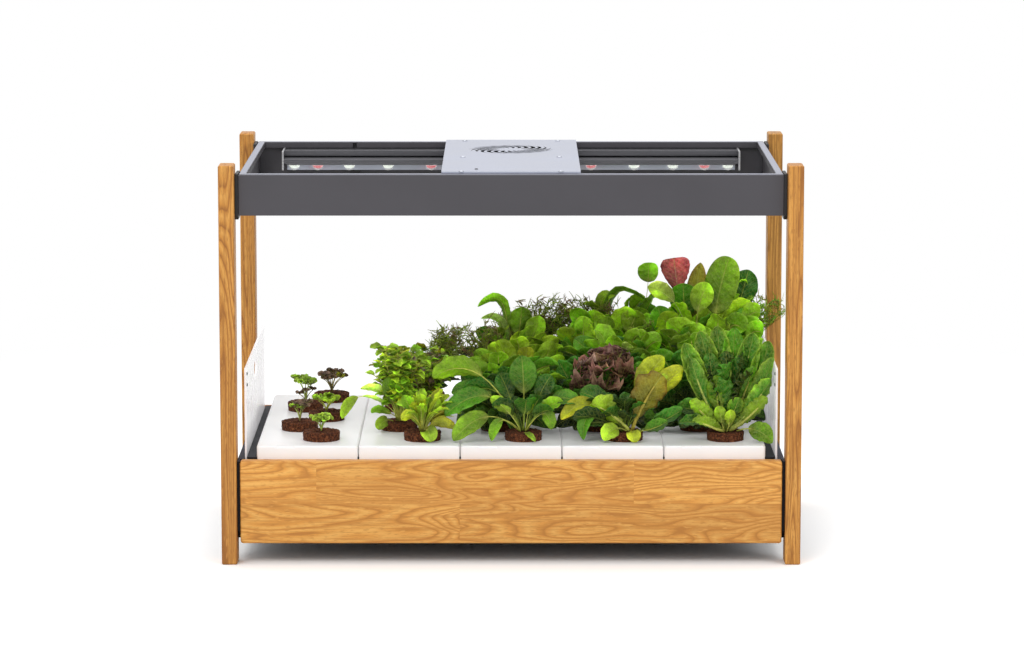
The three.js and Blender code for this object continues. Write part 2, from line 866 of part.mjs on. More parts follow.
// One blade: a thin plate that climbs as it sweeps round the hub
function bladeGeometry() {
  const inner = fanHubRadius - fanBladeThickness;
  const sweep = THREE.MathUtils.degToRad(fanBladeSweepDegrees);
  const positions = [];
  for (let step = 0; step <= fanBladeSteps; step += 1) {
    const share = step / fanBladeSteps;
    const angle = sweep * share;
    const z = fanBladeHeight * share;
    [inner, bladeTipRadius].forEach((radius) => {
      [0, fanBladeThickness].forEach((lift) => {
        positions.push(radius * Math.cos(angle), radius * Math.sin(angle), z + lift);
      });
    });
  }
  const index = [0, 2, 3, 0, 3, 1];
  for (let step = 0; step < fanBladeSteps; step += 1) {
    const a = 4 * step;
    const b = a + 4;
    [[0, 1], [1, 3], [3, 2], [2, 0]].forEach(([from, to]) => {
      index.push(a + from, a + to, b + to, a + from, b + to, b + from);
    });
  }
  const end = 4 * fanBladeSteps;
  index.push(end, end + 3, end + 2, end, end + 1, end + 3);
  const geometry = new THREE.BufferGeometry();
  geometry.setAttribute("position", new THREE.Float32BufferAttribute(positions, 3));
  geometry.setIndex(index);
  return geometry;
}

function rotorGeometry() {
  const base = fanBottom + fanMotorHeight + seatGap;
  const hub = drum(fanHubRadius - fanHubEdge, fanHubRadius, base, base + fanHubHeight, fanSteps, 0, fanY);
  const blades = [];
  for (let blade = 0; blade < fanBlades; blade += 1) {
    const turned = bladeGeometry().rotateZ((blade / fanBlades) * 2 * Math.PI);
    blades.push(turned.translate(0, fanY, base + fanBladeThickness));
  }
  return join([hub, ...blades]);
}

// A board on four feet, with a coil and two capacitors on it
function boardGeometry() {
  const bottom = housingFloor + boardStandoff;
  const top = bottom + boardThickness;
  const seat = bottom + boardThickness / 2;
  const partTop = top + boardPartHeight;
  const reach = boardLength / 2;
  const coilReach = boardPartLength / 2;
  const plate = box(-boardHalfWidth, boardHalfWidth, boardY - reach, boardY + reach, bottom, top);
  const coil = box(-boardPartWidth, 0, boardY - coilReach, boardY + coilReach, seat, partTop);
  const caps = [-1, 1].map((side) => {
    const y = boardY + side * (boardCapRadius + boardThickness);
    return drum(boardCapRadius, boardCapRadius, seat, partTop, domeSteps, boardPartWidth, y);
  });
  const footRadius = boardStandoff / 2;
  const feet = corners.map(([sx, sy]) => {
    const x = sx * (boardHalfWidth - boardStandoff);
    const y = boardY + sy * (reach - boardStandoff);
    return drum(footRadius, footRadius, housingFloor + seatGap, seat, domeSteps, x, y);
  });
  return join([plate, coil, ...caps, ...feet]);
}

// A cap that shows through the cover, with a flange under it that keeps it in
function buttonGeometry() {
  const points = [
    [0, coverBottom - buttonStem],
    [buttonRadius - buttonClearance, coverBottom - buttonStem],
    [buttonRadius - buttonClearance, coverBottom - buttonFlange - seatGap],
    [buttonRadius + buttonFlange, coverBottom - buttonFlange - seatGap],
    [buttonRadius + buttonFlange, coverBottom - seatGap],
    [buttonRadius, coverBottom - seatGap],
    [buttonRadius, coverTop + buttonProud / 2],
    [buttonRadius - buttonProud / 2, coverTop + buttonProud],
    [0, coverTop + buttonProud],
  ];
  const profile = points.map(([r, z]) => new THREE.Vector2(r, z));
  return new THREE.LatheGeometry(profile, buttonSteps).rotateX(Math.PI / 2).translate(buttonX, buttonY, 0);
}

function inletDrum(radius, y0, y1) {
  const geometry = new THREE.CylinderGeometry(radius, radius, y1 - y0, buttonSteps);
  return geometry.translate(inletX, (y0 + y1) / 2, frameTop - inletDrop);
}

// A panel jack: a flange outside the rail, a sleeve through it and an open socket
function inletGeometry() {
  const outside = frameHalfY + seatGap;
  const sleeve = inletDrum(inletRadius, outside + inletFlange - inletLength, outside + inletFlange / 2);
  const flange = inletDrum(inletFlangeRadius, outside, outside + inletFlange);
  const socketFloor = outside + inletFlange - inletBoreDepth;
  const socket = inletDrum(inletPinRadius, socketFloor, outside + inletFlange + cutOverrun);
  return cut(join([sleeve, flange]), [socket]);
}

// Assembly

const garden = new THREE.Group();

function addPiece(parent, name, geometry, material) {
  const mesh = new THREE.Mesh(geometry, material);
  mesh.name = name;
  parent.add(mesh);
  return mesh;
}

const sides = [["left", -1], ["right", 1]];
const ends = [["front", -1], ["rear", 1]];

function addPosts() {
  const postX = halfWidth - postWidth / 2;
  const postY = halfDepth - postDepth / 2;
  ends.forEach(([end, sy]) => {
    sides.forEach(([side, sx]) => {
      const post = addPiece(garden, `${end}_${side}_post`, postGeometry(), oak);
      post.position.set(sx * postX, sy * postY, 0);
    });
  });
}

function addBase() {
  const panelZ = panelBottom + panelHeight / 2;
  const front = addPiece(garden, "front_oak_panel", oakPanelGeometry(), oak);
  front.position.set(0, -panelInnerY, panelZ);
  const rear = addPiece(garden, "rear_oak_panel", oakPanelGeometry(), darkOak);
  rear.position.set(0, panelInnerY + panelThickness, panelZ);
  sides.forEach(([side, sx]) => {
    addPiece(garden, `${side}_side_frame`, sideFrameGeometry(sx), darkSteel);
    addPiece(garden, `${side}_side_panel`, sideScreenGeometry(sx), whiteSheet);
  });
  addPiece(garden, "water_tank", tankGeometry(), tankPlastic);
}

function addTraysAndPods() {
  for (let tray = 0; tray < trayCount; tray += 1) {
    const lane = new THREE.Group();
    lane.position.x = (tray - (trayCount - 1) / 2) * trayPitch;
    garden.add(lane);
    addPiece(lane, `tray_${tray + 1}`, trayGeometry(), whitePlastic);
    const leafGreen = paint(leafColours[tray], 0.7, 0);
    podPlaces().forEach(([x, y], pod) => {
      const piece = addPiece(lane, `pod_${tray + 1}_${pod + 1}`, podGeometry(tray, pod, x), leafGreen);
      piece.position.set(x, y, 0);
    });
  }
}

function addLampFrame() {
  addPiece(garden, "front_lamp_rail", railGeometry(frameHalfX, frameHalfY), darkSteel);
  addPiece(garden, "rear_lamp_rail", rearRailGeometry(), darkSteel);
  sides.forEach(([side, sx]) => {
    const rail = addPiece(garden, `${side}_lamp_rail`, railGeometry(frameHalfY, frameHalfX), darkSteel);
    rail.rotation.z = (sx * Math.PI) / 2;
    ends.forEach(([end, sy]) => {
      addPiece(garden, `${end}_${side}_bracket`, bracketGeometry(sx, sy), blackSteel);
    });
  });
}

function addLights() {
  ends.forEach(([end, sy]) => {
    const half = new THREE.Group();
    half.rotation.z = sy > 0 ? 0 : Math.PI;
    garden.add(half);
    addPiece(half, `${end}_light_bar`, lightBarGeometry(), aluminium);
    addPiece(half, `${end}_led_strip`, ledStripGeometry(), ledStrip);
  });
}

function addLampCentre() {
  addPiece(garden, "fan_cover", coverGeometry(), silverSteel);
  addPiece(garden, "lamp_housing", housingGeometry(), blackSteel);
  addPiece(garden, "fan_frame", fanFrameGeometry(), blackPlastic);
  addPiece(garden, "fan_rotor", rotorGeometry(), blackPlastic);
  addPiece(garden, "control_board", boardGeometry(), boardGreen);
  addPiece(garden, "light_button", buttonGeometry(), blackPlastic);
  addPiece(garden, "power_inlet", inletGeometry(), blackPlastic);
}

addPosts();
addBase();
addTraysAndPods();
addLampFrame();
addLights();
addLampCentre();

export default garden;
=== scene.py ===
import math
from dataclasses import dataclass, replace

import bpy
import numpy as np
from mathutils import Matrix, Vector


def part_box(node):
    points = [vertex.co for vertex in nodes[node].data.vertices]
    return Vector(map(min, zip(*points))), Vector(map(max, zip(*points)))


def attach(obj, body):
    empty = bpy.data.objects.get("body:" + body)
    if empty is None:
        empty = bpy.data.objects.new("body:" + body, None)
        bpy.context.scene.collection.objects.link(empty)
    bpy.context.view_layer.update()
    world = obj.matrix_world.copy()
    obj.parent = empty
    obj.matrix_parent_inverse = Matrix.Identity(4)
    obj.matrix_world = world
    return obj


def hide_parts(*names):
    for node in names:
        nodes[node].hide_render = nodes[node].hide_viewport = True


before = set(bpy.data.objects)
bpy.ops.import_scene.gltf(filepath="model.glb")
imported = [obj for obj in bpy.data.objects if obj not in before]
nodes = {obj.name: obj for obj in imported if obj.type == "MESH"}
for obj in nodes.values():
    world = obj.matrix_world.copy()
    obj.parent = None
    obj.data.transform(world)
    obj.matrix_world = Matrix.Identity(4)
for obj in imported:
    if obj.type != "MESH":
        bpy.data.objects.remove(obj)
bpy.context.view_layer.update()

MM = 0.001

# Camera
CAMERA_PLACE = (0.001, -4.43736, 0.880)
CAMERA_PITCH = math.radians(8.443)
CAMERA_LENS = 143.07
SENSOR_WIDTH = 36.0
CLIP_END = 60.0

# Light: each lamp's place, target, size and power
WORLD_LIGHT = 0.68
WORLD_SHOWN = 1.0
LAMPS = {
    "key": ((-1.3, -2.9, 3.0), (0.0, 0.0, 0.2), (2.2, 2.0), 50.0),
    "fill": ((2.6, -2.6, 1.8), (0.0, 0.0, 0.2), (2.0, 2.0), 33.0),
    "low_left": ((-1.1, -1.2, 0.5), (-0.3, -0.17, 0.33), (0.4, 0.4), 0.4),
    "top": ((0.0, 0.6, 3.0), (0.0, 0.0, 0.3), (2.6, 2.0), 36.0),
}
FLOOR_SIZE = 16.0
FLOOR_SHOWN = 1.15
FLOOR_COLOUR = 0.80
FLOOR_FADE = (0.5, 1.5)

# Trays and their plugs
TRAYS = 5
PODS = 5
TRAY_TOP = 125.4 * MM
POD_PITCH = 64 * MM
POD_STAGGER = 13.2 * MM
PLUG_TOP = 134.9 * MM
PLUG_TOP_RADIUS = 20.3 * MM
PLUG_BOTTOM_RADIUS = 15.0 * MM
PLUG_BOTTOM = 75.4 * MM
PLUG_SHOWN = 9.4 * MM
PLUG_SIDES = 56
PLUG_BULGE = 0.7 * MM
PLUG_ROUNDING = 1.2 * MM
PLUG_CROWN = 1.6 * MM
CRUMBS = 0.32 * MM
FIBRES = 46
FIBRES_ON_SIDE = 0.45
FIBRE_RADII = np.array([0.28, 0.3, 0.16]) * MM

# Room that the plants keep to on each side of their lane, in millimetres, and its soft border
LANE_REACH = 64
LONG_REACH = {(2, 2): 110, (3, 1): 110, (4, 1): 80, (5, 1): 68, (5, 4): 72, (5, 5): 66}
OVER_PANEL = {(5, 1): 84, (5, 5): 94}
PANEL_FADE = 20 * MM
LANE_SOFT = 10 * MM
DEPTH_REACH = 158 * MM
LEAF_FLOOR = TRAY_TOP + 0.9 * MM
PLUG_SINK = 0.5 * MM
GAP_HANG = 24 * MM
SHADE_HEIGHT = 70 * MM

# Lamp: its domes' distances to both sides of the middle, in millimetres, and their LEDs
DOMES = [(38, "white"), (90.2, "red"), (138.7, "white"), (182.5, "white"), (218, "red"), (244.5, "white")]
DOME_RADIUS = 6.6 * MM
DOME_HEIGHT = 6.7 * MM
DOME_RINGS = 9
CHIP_RINGS = [(1.2 * MM, 3.0 * MM), (3.0 * MM, 2.4 * MM), (4.0 * MM, 0.9 * MM), (4.2 * MM, 0.2 * MM)]
LED_ROW = 8 * MM
LED_GAP = 0.05 * MM
STRIP_THICK = 1.2 * MM
# The pale strip below each LED board: painted light on the band under the bar
PAINTED_LIGHT_BEHIND = (8 * MM, 9 * MM)
PAINTED_LIGHT_DROP = 7.2 * MM
BAR_END = 256.05 * MM
GRILLE_CENTRE = 62 * MM
GRILLE_REACH = 50 * MM

# Small hardware: rings as radius and height, the screws' radius in shares of their own
SCREW_PLACES = [(x * MM, y * MM) for y in (-168, -20, 156) for x in (-52.5, 52.5)]
SCREW_RADIUS = 2.9 * MM
SCREW_HEAD = [(1, 0.02), (1, 0.35), (0.93, 0.8), (0.78, 1.1), (0.48, 1.1), (0.46, 0.4), (0.1, 0.35)]
SCREW_SOCKET = [(0.44, 0.42), (0.4, 0.5)]
BUMPER_Y = -148 * MM
BUMPER_DROPS = (7 * MM, 19 * MM)
BUMPER_RINGS = [(1.9, 0.0), (1.9, 0.3), (1.5, 0.8), (0.2, 0.9)]

# Base: height of the seam between the oak's staves, and their joints above and below it
STAVE_SEAM = 65.5 * MM
FRONT_JOINTS = ((-0.207, 0.1305), (-0.0546,))
REAR_JOINTS = ((-0.12, 0.19), (0.03,))

# Broken edges
OAK_EDGE = 0.5 * MM
THICK_EDGE = 0.35 * MM
SHEET_EDGE = 0.3 * MM
MOULDED_EDGE = 0.25 * MM
LED_EDGE = 0.2 * MM
FINE_EDGE = 0.15 * MM


def linear(code):
    """A colour written as 0xRRGGBB, as linear red, green and blue."""
    channels = [((code >> shift) & 255) / 255 for shift in (16, 8, 0)]
    return tuple(c / 12.92 if c <= 0.04045 else ((c + 0.055) / 1.055) ** 2.4 for c in channels)


def rgba(code):
    return (*linear(code), 1.0)


class Shader:
    """A material's or world's node tree, with a short call for each node that it needs."""

    def __init__(self, owner):
        self.owner = owner
        owner.use_nodes = True
        self.tree = owner.node_tree

    @classmethod
    def material(cls, name):
        made = cls(bpy.data.materials.new(name))
        made.surface = made.tree.nodes["Principled BSDF"]
        return made

    def feed(self, socket, value):
        if isinstance(value, bpy.types.NodeSocket):
            self.tree.links.new(value, socket)
        else:
            socket.default_value = value

    def node(self, kind, inputs=(), **settings):
        """A node with its settings, and its inputs in order or by name."""
        made = self.tree.nodes.new("ShaderNode" + kind)
        for key, value in settings.items():
            setattr(made, key, value)
        fed = inputs.items() if isinstance(inputs, dict) else enumerate(inputs)
        for key, value in fed:
            self.feed(made.inputs[key], value)
        return made

    def places(self, scale=(1, 1, 1), shift=None):
        """Places in the object's own frame, stretched per axis."""
        source = self.node("TexCoord").outputs["Object"]
        if shift is not None:
            source = self.node("VectorMath", (source, shift), operation="ADD").outputs[0]
        return self.node("VectorMath", (source, scale), operation="MULTIPLY").outputs[0]

    def parts(self, vector):
        return self.node("SeparateXYZ", [vector]).outputs

    def vector(self, x, y, z):
        return self.node("CombineXYZ", (x, y, z)).outputs[0]

    def noise(self, vector, scale=1.0, detail=3.0, roughness=0.5, distortion=0.0):
        inputs = {"Vector": vector, "Scale": scale, "Detail": detail, "Roughness": roughness}
        return self.node("TexNoise", {**inputs, "Distortion": distortion}).outputs["Fac"]

    def cells(self, vector, scale, feature="F1"):
        made = self.node("TexVoronoi", {"Vector": vector, "Scale": scale}, feature=feature)
        return made.outputs["Distance"]

    def math(self, operation, *values):
        return self.node("Math", values, operation=operation).outputs[0]

    def spread(self, value, low, high, to_low=0.0, to_high=1.0):
        """Maps low..high to to_low..to_high, held at the ends, with a smooth step."""
        inputs = (value, low, high, to_low, to_high)
        return self.node("MapRange", inputs, interpolation_type="SMOOTHSTEP").outputs[0]

    def vary(self, noise, low, high):
        """Maps a noise's usual range to low..high."""
        return self.spread(noise, 0.3, 0.7, low, high)

    def ramp(self, value, stops):
        made = self.node("ValToRGB", [value])
        elements = made.color_ramp.elements
        while len(elements) < len(stops):
            elements.new(0.5)
        for element, (place, colour) in zip(elements, stops):
            element.position = place
            element.color = colour
        return made.outputs[0]

    def mix(self, share, a, b, blend="MIX"):
        return self.node("Mix", {0: share, 6: a, 7: b}, data_type="RGBA", blend_type=blend).outputs[2]

    def dimmed(self, colour, tone):
        return self.mix(1.0, colour, self.vector(tone, tone, tone), "MULTIPLY")

    def bump(self, height, distance, strength):
        made = self.node("Bump", {"Height": height, "Distance": distance, "Strength": strength})
        self.feed(self.surface.inputs["Normal"], made.outputs[0])

    def finish(self, colour, roughness, **values):
        """Sets the surface's colour and roughness, and its other values by name."""
        for key, value in {"Base_Color": colour, "Roughness": roughness, **values}.items():
            self.feed(self.surface.inputs[key.replace("_", " ")], value)
        return self.owner

    def blend(self, share, a, b):
        """Shows a share of one surface over another."""
        mixed = self.node("MixShader", (share, a, b))
        self.feed(self.tree.nodes["Material Output"].inputs["Surface"], mixed.outputs[0])


# Materials

# How the oak's rings, fibres, pores and rays are stretched for each run of the grain
OAK_GRAIN = {
    "x": ((3.4, 24.0, 24.0), (13.0, 400.0, 400.0), (120.0, 1000.0, 1000.0), (90.0, 420.0, 420.0)),
    "z": ((34.0, 34.0, 2.2), (400.0, 400.0, 12.0), (1000.0, 1000.0, 110.0), (420.0, 420.0, 70.0)),
}
JOIN_WIDTH = 0.6 * MM


def oak(name, grain, tones, joints=None, rings=20.0):
    """Oiled oak with its grain along one axis, glued up from staves where joints are given."""
    s = Shader.material(name)
    light, middle, dark = (rgba(tone) for tone in tones)
    stave = row = join = 0.0
    if joints:
        x, _, z = s.parts(s.places())
        row = s.math("GREATER_THAN", z, STAVE_SEAM)
        stave = s.math("MULTIPLY", row, 3.0)
        for side, places, step in zip((row, s.math("SUBTRACT", 1.0, row)), joints, (1.7, 1.3)):
            for place in places:
                passed = s.math("MULTIPLY", s.math("GREATER_THAN", x, place), side)
                stave = s.math("MULTIPLY_ADD", passed, step, stave)
        away = s.math("ABSOLUTE", s.math("SUBTRACT", z, STAVE_SEAM))
        join = s.spread(away, 0.0, JOIN_WIDTH, 0.35, 0.0)
    shift = s.vector(stave, s.math("MULTIPLY", stave, 0.37), s.math("MULTIPLY", stave, 0.21))
    broad, fibre, pore, ray = OAK_GRAIN[grain]
    field = s.noise(s.places(broad, shift), detail=2.0, roughness=0.4, distortion=0.5)
    ring = s.math("FRACT", s.math("MULTIPLY", field, rings))
    fibres = s.noise(s.places(fibre, shift), detail=4.0, roughness=0.6)
    pores = s.noise(s.places(pore, shift), detail=2.0)
    rays = s.noise(s.places(ray, shift), detail=1.0)
    patches = s.noise(s.places(tuple(0.5 * value for value in broad), shift), detail=2.0)
    wood = s.ramp(ring, [(0.0, middle), (0.3, light), (0.66, middle), (0.9, dark), (1.0, middle)])
    for figure, low, high, share, paint in (
        (fibres, 0.44, 0.66, 0.6, dark), (patches, 0.42, 0.66, 0.34, dark),
        (pores, 0.52, 0.66, 0.6, dark), (rays, 0.62, 0.76, 0.5, light),
    ):
        wood = s.mix(s.spread(figure, low, high, 0.0, share), wood, paint)
    tone = s.node("TexWhiteNoise", {"W": stave}, noise_dimensions="1D").outputs["Value"]
    shade = s.math("MULTIPLY_ADD", row, 0.07, s.spread(tone, 0.0, 1.0, 0.9, 0.98))
    wood = s.mix(join, s.dimmed(wood, shade), dark)
    s.bump(s.math("MULTIPLY_ADD", pores, -0.6, s.math("MULTIPLY", fibres, 0.6)), 0.4 * MM, 0.35)
    return s.finish(wood, s.vary(fibres, 0.42, 0.58), Specular_IOR_Level=0.4)


def powder_coat(name, colour, roughness, metallic=0.0, speckle=0.12, top=None, grille_shade=False, painted_glow=0.0,
                sheen=0.5):
    """Baked powder paint: a fine orange-peel skin with a faint mottled tone.

    Top is a painted highlight: a paler tone on faces that look up, where the light falls on them.
    The glow is painted light on the paint. A grille's cut walls are painted dark: painted shade in its
    slots.
    """
    s = Shader.material(name)
    peel = s.noise(s.places(), 2600.0, 2.0, 0.6)
    cloud = s.noise(s.places(), 14.0, 3.0)
    tone = s.math("MULTIPLY_ADD", peel, speckle, 1.0 - speckle / 2)
    tone = s.math("MULTIPLY", tone, s.vary(cloud, 0.96, 1.04))
    paint = rgba(colour)
    _, _, facing = s.parts(s.node("NewGeometry").outputs["True Normal"])
    # Painted highlight: faces that look up take the paler top tone.
    if top is not None:
        paint = s.mix(s.spread(facing, 0.6, 0.95), paint, rgba(top))
    if grille_shade:
        # Painted shade: the cut walls of the grille's slots are darkened.
        centre = (0.0, GRILLE_CENTRE, 0.0)
        away = s.node("VectorMath", (s.places((1, 1, 0)), centre), operation="DISTANCE")
        near = s.spread(away.outputs["Value"], GRILLE_REACH, GRILLE_REACH + 1 * MM, 1.0, 0.0)
        shaded_slot_wall = s.math("MULTIPLY", near, s.spread(facing, 0.5, 0.8, 1.0, 0.0))
        paint = s.mix(shaded_slot_wall, paint, rgba(0x17181c))
    paint = s.dimmed(paint, tone)
    s.bump(peel, 0.12 * MM, 0.5)
    # The glow is painted light.
    return s.finish(paint, s.vary(cloud, roughness - 0.03, roughness + 0.05), Metallic=metallic,
                    Emission_Color=paint, Emission_Strength=painted_glow, Specular_IOR_Level=sheen)


def moulded_plastic(name, colour, roughness, subsurface=0.0, painted_glow=0.0, sheen=0.5):
    """Injection-moulded plastic with a very fine spark-eroded grain."""
    s = Shader.material(name)
    grain = s.noise(s.places(), 1800.0, 2.0)
    cloud = s.noise(s.places(), 22.0, 2.0)
    paint = s.dimmed(rgba(colour), s.vary(cloud, 0.975, 1.0))
    s.bump(grain, 0.08 * MM, 0.35)
    # The glow is painted light.
    return s.finish(paint, s.vary(cloud, roughness - 0.03, roughness + 0.05),
                    Emission_Color=paint, Emission_Strength=painted_glow, Specular_IOR_Level=sheen,
                    Subsurface_Weight=subsurface, Subsurface_Scale=2 * MM)


def brushed_bar(name, body, end):
    """Anodised extrusion with a drawn grain along X; its end plates are bare and bright."""
    s = Shader.material(name)
    x, _, _ = s.parts(s.places())
    drawn = s.noise(s.places((6.0, 2400.0, 2400.0)), detail=3.0)
    at_end = s.math("GREATER_THAN", s.math("ABSOLUTE", x), BAR_END)
    paint = s.dimmed(s.mix(at_end, rgba(body), rgba(end)), s.vary(drawn, 0.86, 1.1))
    s.bump(drawn, 0.06 * MM, 0.5)
    return s.finish(paint, s.vary(drawn, 0.28, 0.4), Metallic=0.85)


def coir(name):
    """Pressed coconut fibre: dark crumbs with lighter threads and deep pits."""
    s = Shader.material(name)
    crumbs = s.noise(s.places(), 420.0, 6.0, 0.72)
    threads = s.noise(s.places((260.0, 1500.0, 700.0)), detail=3.0, distortion=1.4)
    pits = s.cells(s.places(), 520.0)
    browns = ((0.3, 0x170906), (0.47, 0x422010), (0.6, 0x784428), (0.76, 0xb07a50))
    colour = s.ramp(crumbs, [(place, rgba(code)) for place, code in browns])
    colour = s.mix(s.spread(threads, 0.6, 0.72, 0.0, 0.7), colour, rgba(0xb07848))
    s.bump(s.math("MULTIPLY_ADD", crumbs, 1.4, s.math("MULTIPLY", pits, 0.8)), 1.2 * MM, 0.9)
    return s.finish(colour, 0.93, Specular_IOR_Level=0.25)


LIGHT_THROUGH = (1.5, 1.35, 0.5, 1.0)
THROUGH_SHARE = 0.24


def leaf_skin(name, roughness, veins, vein_share, blister, net=0.2):
    """Living leaf: the tint from the blade, with ribs, side veins, a fine net and a quilted skin."""
    s = Shader.material(name)
    tint = s.node("Attribute", attribute_name="tint").outputs["Color"]
    blade = s.node("Attribute", attribute_name="blade").outputs["Vector"]
    along, across, _ = s.parts(blade)
    side = s.math("ABSOLUTE", across)
    rib = s.spread(side, 0.015, 0.075, 1.0, 0.0)
    branch = s.math("FRACT", s.math("MULTIPLY_ADD", side, -2.2, s.math("MULTIPLY", along, veins)))
    branch = s.spread(s.math("ABSOLUTE", s.math("SUBTRACT", branch, 0.5)), 0.02, 0.13, 1.0, 0.0)
    branch = s.math("MULTIPLY", branch, s.spread(side, 0.55, 1.0, vein_share, 0.0))
    edges = s.spread(s.cells(s.places(), 240.0, "DISTANCE_TO_EDGE"), 0.02, 0.16, net, 0.0)
    lines = s.math("MAXIMUM", s.math("MAXIMUM", s.math("MULTIPLY", rib, 0.8), branch), edges)
    mottle = s.noise(s.places(), 70.0, 5.0, 0.65)
    fine = s.noise(s.places(), 620.0, 2.0)
    shade = s.math("MULTIPLY", s.spread(mottle, 0.32, 0.68, 0.72, 1.42), s.vary(fine, 0.86, 1.16))
    colour = s.mix(1.0, tint, s.vector(shade, shade, s.math("MULTIPLY", shade, 0.62)), "MULTIPLY")
    colour = s.mix(lines, colour, s.mix(0.45, tint, rgba(0xd2dc6a)))
    quilt = s.cells(s.places(), 210.0, "SMOOTH_F1")
    s.bump(s.math("MULTIPLY_ADD", quilt, -blister, s.math("MULTIPLY", lines, -0.4)), 1.8 * MM, 0.9)
    through = s.node("BsdfTranslucent", {"Color": s.mix(1.0, colour, LIGHT_THROUGH, "MULTIPLY")})
    s.blend(THROUGH_SHARE, s.surface.outputs[0], through.outputs[0])
    return s.finish(colour, s.vary(mottle, roughness - 0.05, roughness + 0.1), Specular_IOR_Level=0.3)


def clear_plastic(name):
    s = Shader.material(name)
    rough = s.vary(s.noise(s.places(), 900.0, 2.0), 0.03, 0.09)
    # The faint white glow is painted light on the domes.
    return s.finish((0.96, 0.97, 0.97, 1.0), rough, Transmission_Weight=0.86, IOR=1.49,
                    Emission_Color=(1.0, 1.0, 1.0, 1.0), Emission_Strength=0.1)


def led_die(name, colour, painted_glow):
    """The phosphor or chip under a dome, whose glow is painted light that stands in for the room's light
    that it catches.
    """
    s = Shader.material(name)
    paint = s.dimmed(rgba(colour), s.vary(s.noise(s.places(), 2400.0, 2.0), 0.85, 1.1))
    return s.finish(paint, 0.35, Emission_Color=paint, Emission_Strength=painted_glow)


def circuit_laminate(name, colour):
    """A lacquered circuit board with faint copper tracks under the lacquer."""
    s = Shader.material(name)
    x, y, _ = s.parts(s.places((420.0, 300.0, 1.0)))
    tracks = s.noise(s.vector(s.math("FLOOR", x), s.math("FLOOR", y), 0.0), 1.0, 0.0)
    paint = s.mix(s.spread(tracks, 0.52, 0.56, 0.0, 0.18), rgba(colour), rgba(0xc8d8a0))
    s.bump(tracks, 0.05 * MM, 0.4)
    return s.finish(paint, 0.3)


# Mesh building

WELD_DISTANCE = 0.01 * MM
BEVEL_ANGLE = math.radians(35.0)
FOOT_LIGHT = 0.34


def put(name, data, place=(0, 0, 0), turn=(0, 0, 0)):
    """An object in the scene that shows a mesh, a lamp or a camera."""
    made = bpy.data.objects.new(name, data)
    made.location = place
    made.rotation_euler = turn
    bpy.context.scene.collection.objects.link(made)
    return made


def mesh_object(name, points, faces, smooth=True):
    mesh = bpy.data.meshes.new(name)
    mesh.from_pydata([tuple(p) for p in points], [], [tuple(f) for f in faces])
    mesh.polygons.foreach_set("use_smooth", [smooth] * len(mesh.polygons))
    return put(name, mesh)


def band(rows, sides, start=0):
    """Quads round a form of stacked rings, whose first point has the number start."""
    faces = []
    for row in range(start, start + (rows - 1) * sides, sides):
        for i in range(sides):
            a, b = row + i, row + (i + 1) % sides
            faces.append((a, b, b + sides, a + sides))
    return faces


